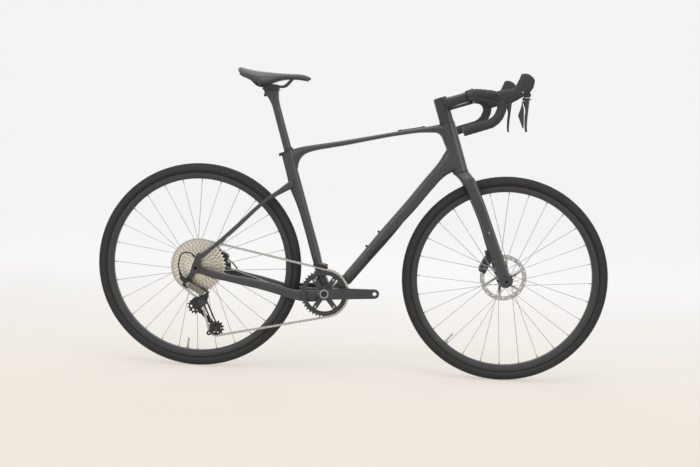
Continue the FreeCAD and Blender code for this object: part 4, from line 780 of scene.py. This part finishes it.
class BIKE_OT_saddle(Operator):
    """Shape the saddle's padded cover with its seams"""

    bl_idname = "bike.saddle"
    bl_label = "Saddle"

    stations = [
        (-0.4050, 0.0420, 1.0250, 1.0150), (-0.3975, 0.0600, 1.0280, 1.0060),
        (-0.3775, 0.0695, 1.0245, 0.9950), (-0.3525, 0.0710, 1.0205, 0.9840),
        (-0.3295, 0.0660, 1.0180, 0.9755), (-0.3055, 0.0530, 1.0160, 0.9800),
        (-0.2755, 0.0365, 1.0140, 0.9910), (-0.2345, 0.0250, 1.0130, 0.9980),
        (-0.1925, 0.0205, 1.0125, 0.9965), (-0.1725, 0.0145, 1.0070, 0.9935),
        (-0.1640, 0.0060, 1.0015, 0.9960),
    ]

    def execute(self, context):
        sizes = context.scene.bike_sizes
        rows = sizes.saddle_rows
        verts, faces = [], []
        around = 48
        for i in range(rows):
            verts += self.section(i / (rows - 1), around, sizes.seam_depth)
        for row in range(rows - 1):
            for k in range(around):
                a, b = row * around + k, row * around + (k + 1) % around
                faces.append((a, a + around, b + around, b))
        faces.append(tuple(range(around)))
        faces.append(tuple(reversed(range((rows - 1) * around, rows * around))))
        cover = piece_from("saddle_pad", verts, faces, "saddle", "saddle", "black_soft")
        smooth = cover.modifiers.new("smooth", "SUBSURF")
        smooth.levels = smooth.render_levels = 1
        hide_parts("saddle_cover")
        return {"FINISHED"}

    def at(self, part):
        """Saddle station at a part of the length, by a smooth curve."""
        rows = self.stations
        x = rows[0][0] + (rows[-1][0] - rows[0][0]) * (0.5 - 0.5 * math.cos(math.pi * part))
        k = max(i for i in range(len(rows) - 1) if rows[i][0] <= x + 1e-9)
        low, high = rows[k], rows[k + 1]
        before, after = rows[max(k - 1, 0)], rows[min(k + 2, len(rows) - 1)]
        t = (x - low[0]) / (high[0] - low[0])
        values = []
        for c in (1, 2, 3):
            span = high[0] - low[0]
            first = (high[c] - before[c]) / (high[0] - before[0]) * span
            second = (after[c] - low[c]) / (after[0] - low[0]) * span
            values.append(
                (2 * t ** 3 - 3 * t ** 2 + 1) * low[c] + (t ** 3 - 2 * t ** 2 + t) * first
                + (3 * t ** 2 - 2 * t ** 3) * high[c] + (t ** 3 - t ** 2) * second)
        return x, *values

    def section(self, part, around, seam):
        x, half, top, edge = self.at(part)
        tall = top - edge
        under = max(edge + 0.002, top - 0.021)
        shape = [
            (0, top), (0.45, top - 0.04 * tall), (0.8, top - 0.2 * tall),
            (0.98, top - 0.5 * tall), (1.0, top - 0.8 * tall), (0.93, edge),
            (0.82, edge + 0.05 * tall), (0.55, (edge + under) / 2 + 0.1 * tall), (0, under),
        ]
        points = []
        count = around // 2
        for k in range(count + 1):
            place = k / count * (len(shape) - 1)
            i = min(int(place), len(shape) - 2)
            t = place - i
            p0, p1, p2, p3 = (shape[max(i - 1, 0)], shape[i], shape[i + 1], shape[min(i + 2, 8)])
            pair = []
            for c in (0, 1):
                pair.append(0.5 * (
                    2 * p1[c] + (p2[c] - p0[c]) * t
                    + (2 * p0[c] - 5 * p1[c] + 4 * p2[c] - p3[c]) * t * t
                    + (3 * p1[c] - p0[c] - 3 * p2[c] + p3[c]) * t ** 3))
            w, z = max(pair[0], 0.0) * half, pair[1]
            groove = math.exp(-((place - 3.45) / 0.16) ** 2) * seam
            hollow = math.exp(-(w / 0.007) ** 2) * 0.0022 * math.sin(math.pi * part) ** 2
            if place < 2:
                z -= hollow
            points.append((max(w - groove, 0.0), z))
        ring = [Vector((x, w, z)) for w, z in points]
        ring += [Vector((x, -w, z)) for w, z in reversed(points[1:-1])]
        return ring


class BIKE_OT_fasteners(Operator):
    """Add the bolts and caps that show on the frame, cockpit and drive"""

    bl_idname = "bike.fasteners"
    bl_label = "Fasteners"

    def execute(self, context):
        down = Vector((0.1292, 0, 0.1685)).normalized()
        down_out = Vector((-down.z, 0, down.x))
        seat_up = Vector((-math.sin(SEAT_TUBE_LEAN), 0, math.cos(SEAT_TUBE_LEAN)))
        seat_out = Vector((math.cos(SEAT_TUBE_LEAN), 0, math.sin(SEAT_TUBE_LEAN)))
        low = Vector((0.0488, 0, 0.4413))
        seat = Vector((-0.112, 0, 0.397))
        seats = []
        for foot, up, out in ((low, down, down_out), (seat, seat_up, seat_out)):
            for along in (0.0, BOTTLE_BOLT_PITCH):
                seats.append((foot + up * along + out * 0.002, out, 0.0042, 0.0030))
        bolts("bottle_cage_bolts", seats, "dark_bolt", "frame", "steel")
        cap = HEAD_TOP + STEERING_UP * TOP_CAP_HEIGHT
        bolts("top_cap_bolt", [(cap - STEERING_UP * 0.0012, STEERING_UP, 0.0052, 0.0020)],
              "dark_bolt", "front_end", "steel")
        self.frame_trim()
        self.front_trim()
        self.post_head()
        self.lever_pins()
        self.drive_bolts()
        centre = CRANK_AXIS
        right = -LEFT
        cap_ring = turned([
            (0.0665, 0.0152), (0.0690, 0.0152), (0.0698, 0.0144), (0.0698, 0.0118),
            (0.0690, 0.0112), (0.0675, 0.0112),
        ], centre, right, 48)
        piece_from("crank_cap_ring", *cap_ring, "bolt", "crank", "steel")
        cap_face = capped([(0.060, 0.0112), (0.0682, 0.0112), (0.0682, 0.0060), (0.0650, 0.0052)],
                          centre, right, 48)
        piece_from("crank_cap_face", *cap_face, "alloy", "crank", "black_alloy", smooth=False)
        return {"FINISHED"}

    @staticmethod
    def frame_trim():
        """Cover bolts, seat clamp bolt, hanger bolt, port plug and cable ferrules."""
        slope = math.radians(11.2)
        ahead = Vector((math.cos(slope), 0, math.sin(slope)))
        out = Vector((-math.sin(slope), 0, math.cos(slope)))
        cover = Vector((0.1435, 0, 0.8365)) + out * 0.0037
        seats = [(cover + ahead * along, out, 0.0040, 0.0016) for along in (0.001, 0.078)]
        seats.append((Vector((-0.2580, -0.0078, 0.7415)), -LEFT, 0.0034, 0.0028))
        seats.append((Vector((-0.5375, -0.0868, 0.322)), -LEFT, 0.0058, 0.0016))
        bolts("frame_bolts", seats, "dark_bolt", "frame", "steel")
        plug = capped([(-0.003, 0.0042), (0.0008, 0.0042), (0.0013, 0.0034)],
                      Vector((-0.1237, -0.0228, 0.3917)), -LEFT, 24)
        piece_from("port_plug", *plug, "guard", "frame", "black_soft", smooth=False)
        sleeve = [(-0.005, 0.0027), (-0.005, 0.0034), (0.004, 0.0034), (0.005, 0.0030), (0.005, 0.0027)]
        stay_end = turned(sleeve, Vector((-0.5325, -0.075, 0.392)), Vector((-1, 0, 1)).normalized(), 20)
        stop_end = turned(sleeve, Vector((-0.5778, -0.0702, 0.3350)),
                          Vector((0.0068, 0.001, -0.0254)).normalized(), 20)
        piece_from("cable_ferrules", *merge(stay_end, stop_end), "alloy", "frame", "black_alloy")

    @staticmethod
    def front_trim():
        """Seals at both ends of the head tube, and the plugs of the fork's mounts."""
        lip = [(0.0002, 0.0238), (0.0002, 0.0254), (0.0016, 0.0254), (0.0019, 0.0238)]
        foot = [(-0.0014, 0.0250), (-0.0014, 0.0266), (0.0010, 0.0266), (0.0010, 0.0250)]
        seals = merge(turned(lip, HEAD_TOP, STEERING_UP, 64),
                      turned(foot, HEAD_TOP - STEERING_UP * HEAD_LENGTH, STEERING_UP, 64))
        piece_from("headset_seals", *seals, "guard", "frame", "black_soft", smooth=False)
        seats = []
        for side in (-1, 1):
            out = LEFT * side
            seats.append((Vector((0.4565, side * 0.0566, 0.5105)), out, 0.0042, 0.0014))
        bolts("fork_mount_bolts", seats, "link", "front_end", "steel")

    @staticmethod
    def post_head():
        """Flared head that joins the seatpost to its clamp."""
        rows = [
            (0.9050, -0.2785, 0.0146, 0.0139), (0.9180, -0.2832, 0.0156, 0.0140),
            (0.9300, -0.2882, 0.0184, 0.0144), (0.9400, -0.2925, 0.0222, 0.0148),
            (0.9480, -0.2952, 0.0244, 0.0150), (0.9558, -0.2962, 0.0258, 0.0150),
        ]
        around = 40
        verts, faces = [], []
        for height, middle, long, wide in rows:
            square = 2 / (2 + 2.5 * (height - rows[0][0]) / (rows[-1][0] - rows[0][0]))
            for k in range(around):
                c, n = math.cos(2 * math.pi * k / around), math.sin(2 * math.pi * k / around)
                x = math.copysign(abs(c) ** square, c) * long
                y = math.copysign(abs(n) ** square, n) * wide
                verts.append(Vector((middle + x, y, height)))
        for row in range(len(rows) - 1):
            for k in range(around):
                a, b = row * around + k, row * around + (k + 1) % around
                faces.append((a, b, b + around, a + around))
        faces.append(tuple(reversed(range(around))))
        faces.append(tuple(range((len(rows) - 1) * around, len(rows) * around)))
        head = piece_from("post_head", verts, faces, "paint", "seatpost", "black_alloy")
        head.data.set_sharp_from_angle(angle=math.radians(40))

    @staticmethod
    def lever_pins():
        """Bright ends of the pins on which the levers turn."""
        pins = []
        for side in (-1, 1):
            centre = Vector((0.5155, side * 0.2250, 0.972))
            pins.append(capped([(-0.002, 0.0027), (0.0026, 0.0027), (0.0031, 0.0021)],
                               centre, LEFT * side, 24))
        piece_from("lever_pins", *merge(*pins), "bolt", "front_end", "steel", smooth=False)

    @staticmethod
    def drive_bolts():
        """Sockets of the chainring bolts, pulley bolts and the cage pivot cap."""
        seats = []
        for turn in (58, 128, 238, 308):
            at = math.radians(turn)
            spot = CRANK_AXIS + Vector((math.cos(at), 0, math.sin(at))) * 0.055
            seats.append((spot + Vector((0, -0.0567, 0)), -LEFT, 0.0046, 0.0012))
        bolts("ring_bolt_sockets", seats, "bolt", "crank", "steel")
        pulleys = [(-0.5297, -0.0333, 0.2101), (-0.4561, -0.0333, 0.1371)]
        bolts("pulley_bolts", [(spot, -LEFT, 0.0044, 0.0019) for spot in pulleys],
              "dark_bolt", "cage", "steel")
        pivot = Vector((-0.5025, -0.0522, 0.230))
        cap = capped([(0, 0.0128), (0.0009, 0.0128), (0.0016, 0.0118)], pivot, -LEFT, 40)
        piece_from("cage_pivot_cap", *cap, "alloy_satin", "knuckle", "black_alloy", smooth=False)
        bolts("cage_pivot_bolt", [(pivot + Vector((0, -0.0014, 0)), -LEFT, 0.0055, 0.0016)],
              "dark_bolt", "knuckle", "steel")


class BIKE_OT_stage(Operator):
    """Make the cove, the lights and the camera"""

    bl_idname = "bike.stage"
    bl_label = "Stage"

    def execute(self, context):
        scene = context.scene
        stage = scene.bike_stage
        self.cove(tuple(stage.wall), tuple(stage.floor))
        self.world(scene)
        self.lamp("overhead", (0.1, -0.6, 3.6), (0, 0, 0.4), 3.4, 60.0)
        self.lamp("left_side", (-3.0, -2.6, 2.0), (-0.2, 0, 0.6), 2.2, 34.0)
        self.lamp("right_side", (3.2, -2.2, 1.9), (0.3, 0, 0.6), 2.0, 26.0)
        self.lamp("behind", (0.4, 3.4, 2.4), (0, 0, 0.6), 2.4, 22.0)
        self.camera(scene, stage)
        scene.view_settings.view_transform = "Standard"
        return {"FINISHED"}

    @staticmethod
    def cove(wall, floor):
        bend, rise = 6.6, 1.8
        rows = [(-16.0, 0.0), (bend, 0.0)]
        rows += [(bend + rise * math.sin(a), rise - rise * math.cos(a))
                 for a in (math.pi / 2 * k / 24 for k in range(1, 25))]
        rows.append((bend + rise, 9.0))
        verts = [(x, y, z) for y, z in rows for x in (-14.0, 14.0)]
        faces = [(2 * i, 2 * i + 1, 2 * i + 3, 2 * i + 2) for i in range(len(rows) - 1)]
        mesh = bpy.data.meshes.new("studio_cove")
        mesh.from_pydata(verts, [], faces)
        mesh.shade_smooth()
        made = Finish("cove_paint", roughness=0.9, specular_ior_level=0.0)
        place = made.place()
        deep = made.axis("Y", place)
        back = deep.between(-0.6, 2.2) + (0 - deep).between(3.6, 6.5)
        tone = made.blend(back, floor, wall)
        made.feed("Base Color", tone)
        glow = made.tree.nodes.new("ShaderNodeEmission")
        made.feed("Color", tone, glow)
        glow.inputs["Strength"].default_value = 1.0
        path = made.tree.nodes.new("ShaderNodeLightPath")
        seen = Wire(made, path.outputs["Is Camera Ray"]) + Wire(made, path.outputs["Is Glossy Ray"])
        seen = seen + Wire(made, path.outputs["Is Transmission Ray"])
        mixed = made.tree.nodes.new("ShaderNodeMixShader")
        made.feed(0, seen.between(0.0, 1.0) * (back * 0.33 + 0.55), mixed)
        made.tree.links.new(made.shader.outputs[0], mixed.inputs[1])
        made.tree.links.new(glow.outputs[0], mixed.inputs[2])
        output = made.tree.nodes["Material Output"]
        made.tree.links.new(mixed.outputs[0], output.inputs["Surface"])
        mesh.materials.append(made.material)
        cove = bpy.data.objects.new("studio_cove", mesh)
        bpy.context.scene.collection.objects.link(cove)

    @staticmethod
    def world(scene):
        world = bpy.data.worlds.new("studio_air")
        world.use_nodes = True
        nodes, links = world.node_tree.nodes, world.node_tree.links
        lit = nodes["Background"]
        lit.inputs["Color"].default_value = (0.93, 0.96, 1.0, 1)
        lit.inputs["Strength"].default_value = 0.55
        seen = nodes.new("ShaderNodeBackground")
        seen.inputs["Color"].default_value = (0.90, 0.90, 0.89, 1)
        path = nodes.new("ShaderNodeLightPath")
        last = lit
        for ray in ("Is Camera Ray", "Is Glossy Ray", "Is Transmission Ray"):
            choice = nodes.new("ShaderNodeMixShader")
            links.new(path.outputs[ray], choice.inputs[0])
            links.new(last.outputs[0], choice.inputs[1])
            links.new(seen.outputs[0], choice.inputs[2])
            last = choice
        links.new(last.outputs[0], nodes["World Output"].inputs["Surface"])
        scene.world = world

    @staticmethod
    def lamp(name, place, aim, size, power):
        light = bpy.data.lights.new(name, "AREA")
        light.shape = "DISK"
        light.size = size
        light.energy = power
        made = bpy.data.objects.new(name, light)
        made.location = place
        made.rotation_euler = (Vector(aim) - Vector(place)).to_track_quat("-Z", "Y").to_euler()
        made.visible_camera = False
        bpy.context.scene.collection.objects.link(made)

    @staticmethod
    def camera(scene, stage):
        yaw, pitch, roll = stage.camera_turns
        flat = math.cos(pitch)
        ahead = Vector((math.sin(yaw) * flat, math.cos(yaw) * flat, -math.sin(pitch)))
        level = Vector((math.cos(yaw), -math.sin(yaw), 0))
        up = level.cross(ahead)
        right = level * math.cos(roll) + up * math.sin(roll)
        up = up * math.cos(roll) - level * math.sin(roll)
        lens = bpy.data.cameras.new("camera")
        lens.sensor_width = SENSOR
        lens.lens = stage.focal_pixels / IMAGE_WIDTH * SENSOR
        lens.clip_end = 60.0
        made = bpy.data.objects.new("camera", lens)
        turn = Matrix((right, up, -ahead)).transposed().to_4x4()
        made.matrix_world = Matrix.Translation(Vector(stage.camera_place)) @ turn
        scene.collection.objects.link(made)
        scene.camera = made


class BIKE_PT_looks(Panel):
    """Lists the steps that dress the bike"""

    bl_label = "Gravel Bike"
    bl_idname = "BIKE_PT_looks"
    bl_space_type = "VIEW_3D"
    bl_region_type = "UI"
    bl_category = "Bike"

    def draw(self, context):
        for group in ("bike_sizes", "bike_colours", "bike_stage"):
            settings = getattr(context.scene, group)
            column = self.layout.column(align=True)
            for name in settings.__annotations__:
                column.prop(settings, name)
        for step in STEPS:
            self.layout.operator(step.bl_idname)


STEPS = [
    BIKE_OT_finishes, BIKE_OT_tyres, BIKE_OT_tape, BIKE_OT_saddle, BIKE_OT_fasteners, BIKE_OT_stage,
]
GROUPS = {"bike_sizes": BikeSizes, "bike_colours": BikeColours, "bike_stage": BikeStage}
CLASSES = [*GROUPS.values(), *STEPS, BIKE_PT_looks]


def register():
    for item in CLASSES:
        bpy.utils.register_class(item)
    for name, group in GROUPS.items():
        setattr(bpy.types.Scene, name, PointerProperty(type=group))


def unregister():
    for name in GROUPS:
        delattr(bpy.types.Scene, name)
    for item in reversed(CLASSES):
        bpy.utils.unregister_class(item)


def main():
    register()
    bpy.ops.bike.finishes()
    bpy.ops.bike.tyres()
    bpy.ops.bike.tape()
    bpy.ops.bike.saddle()
    bpy.ops.bike.fasteners()
    bpy.ops.bike.stage()


if __name__ == "__main__":
    main()
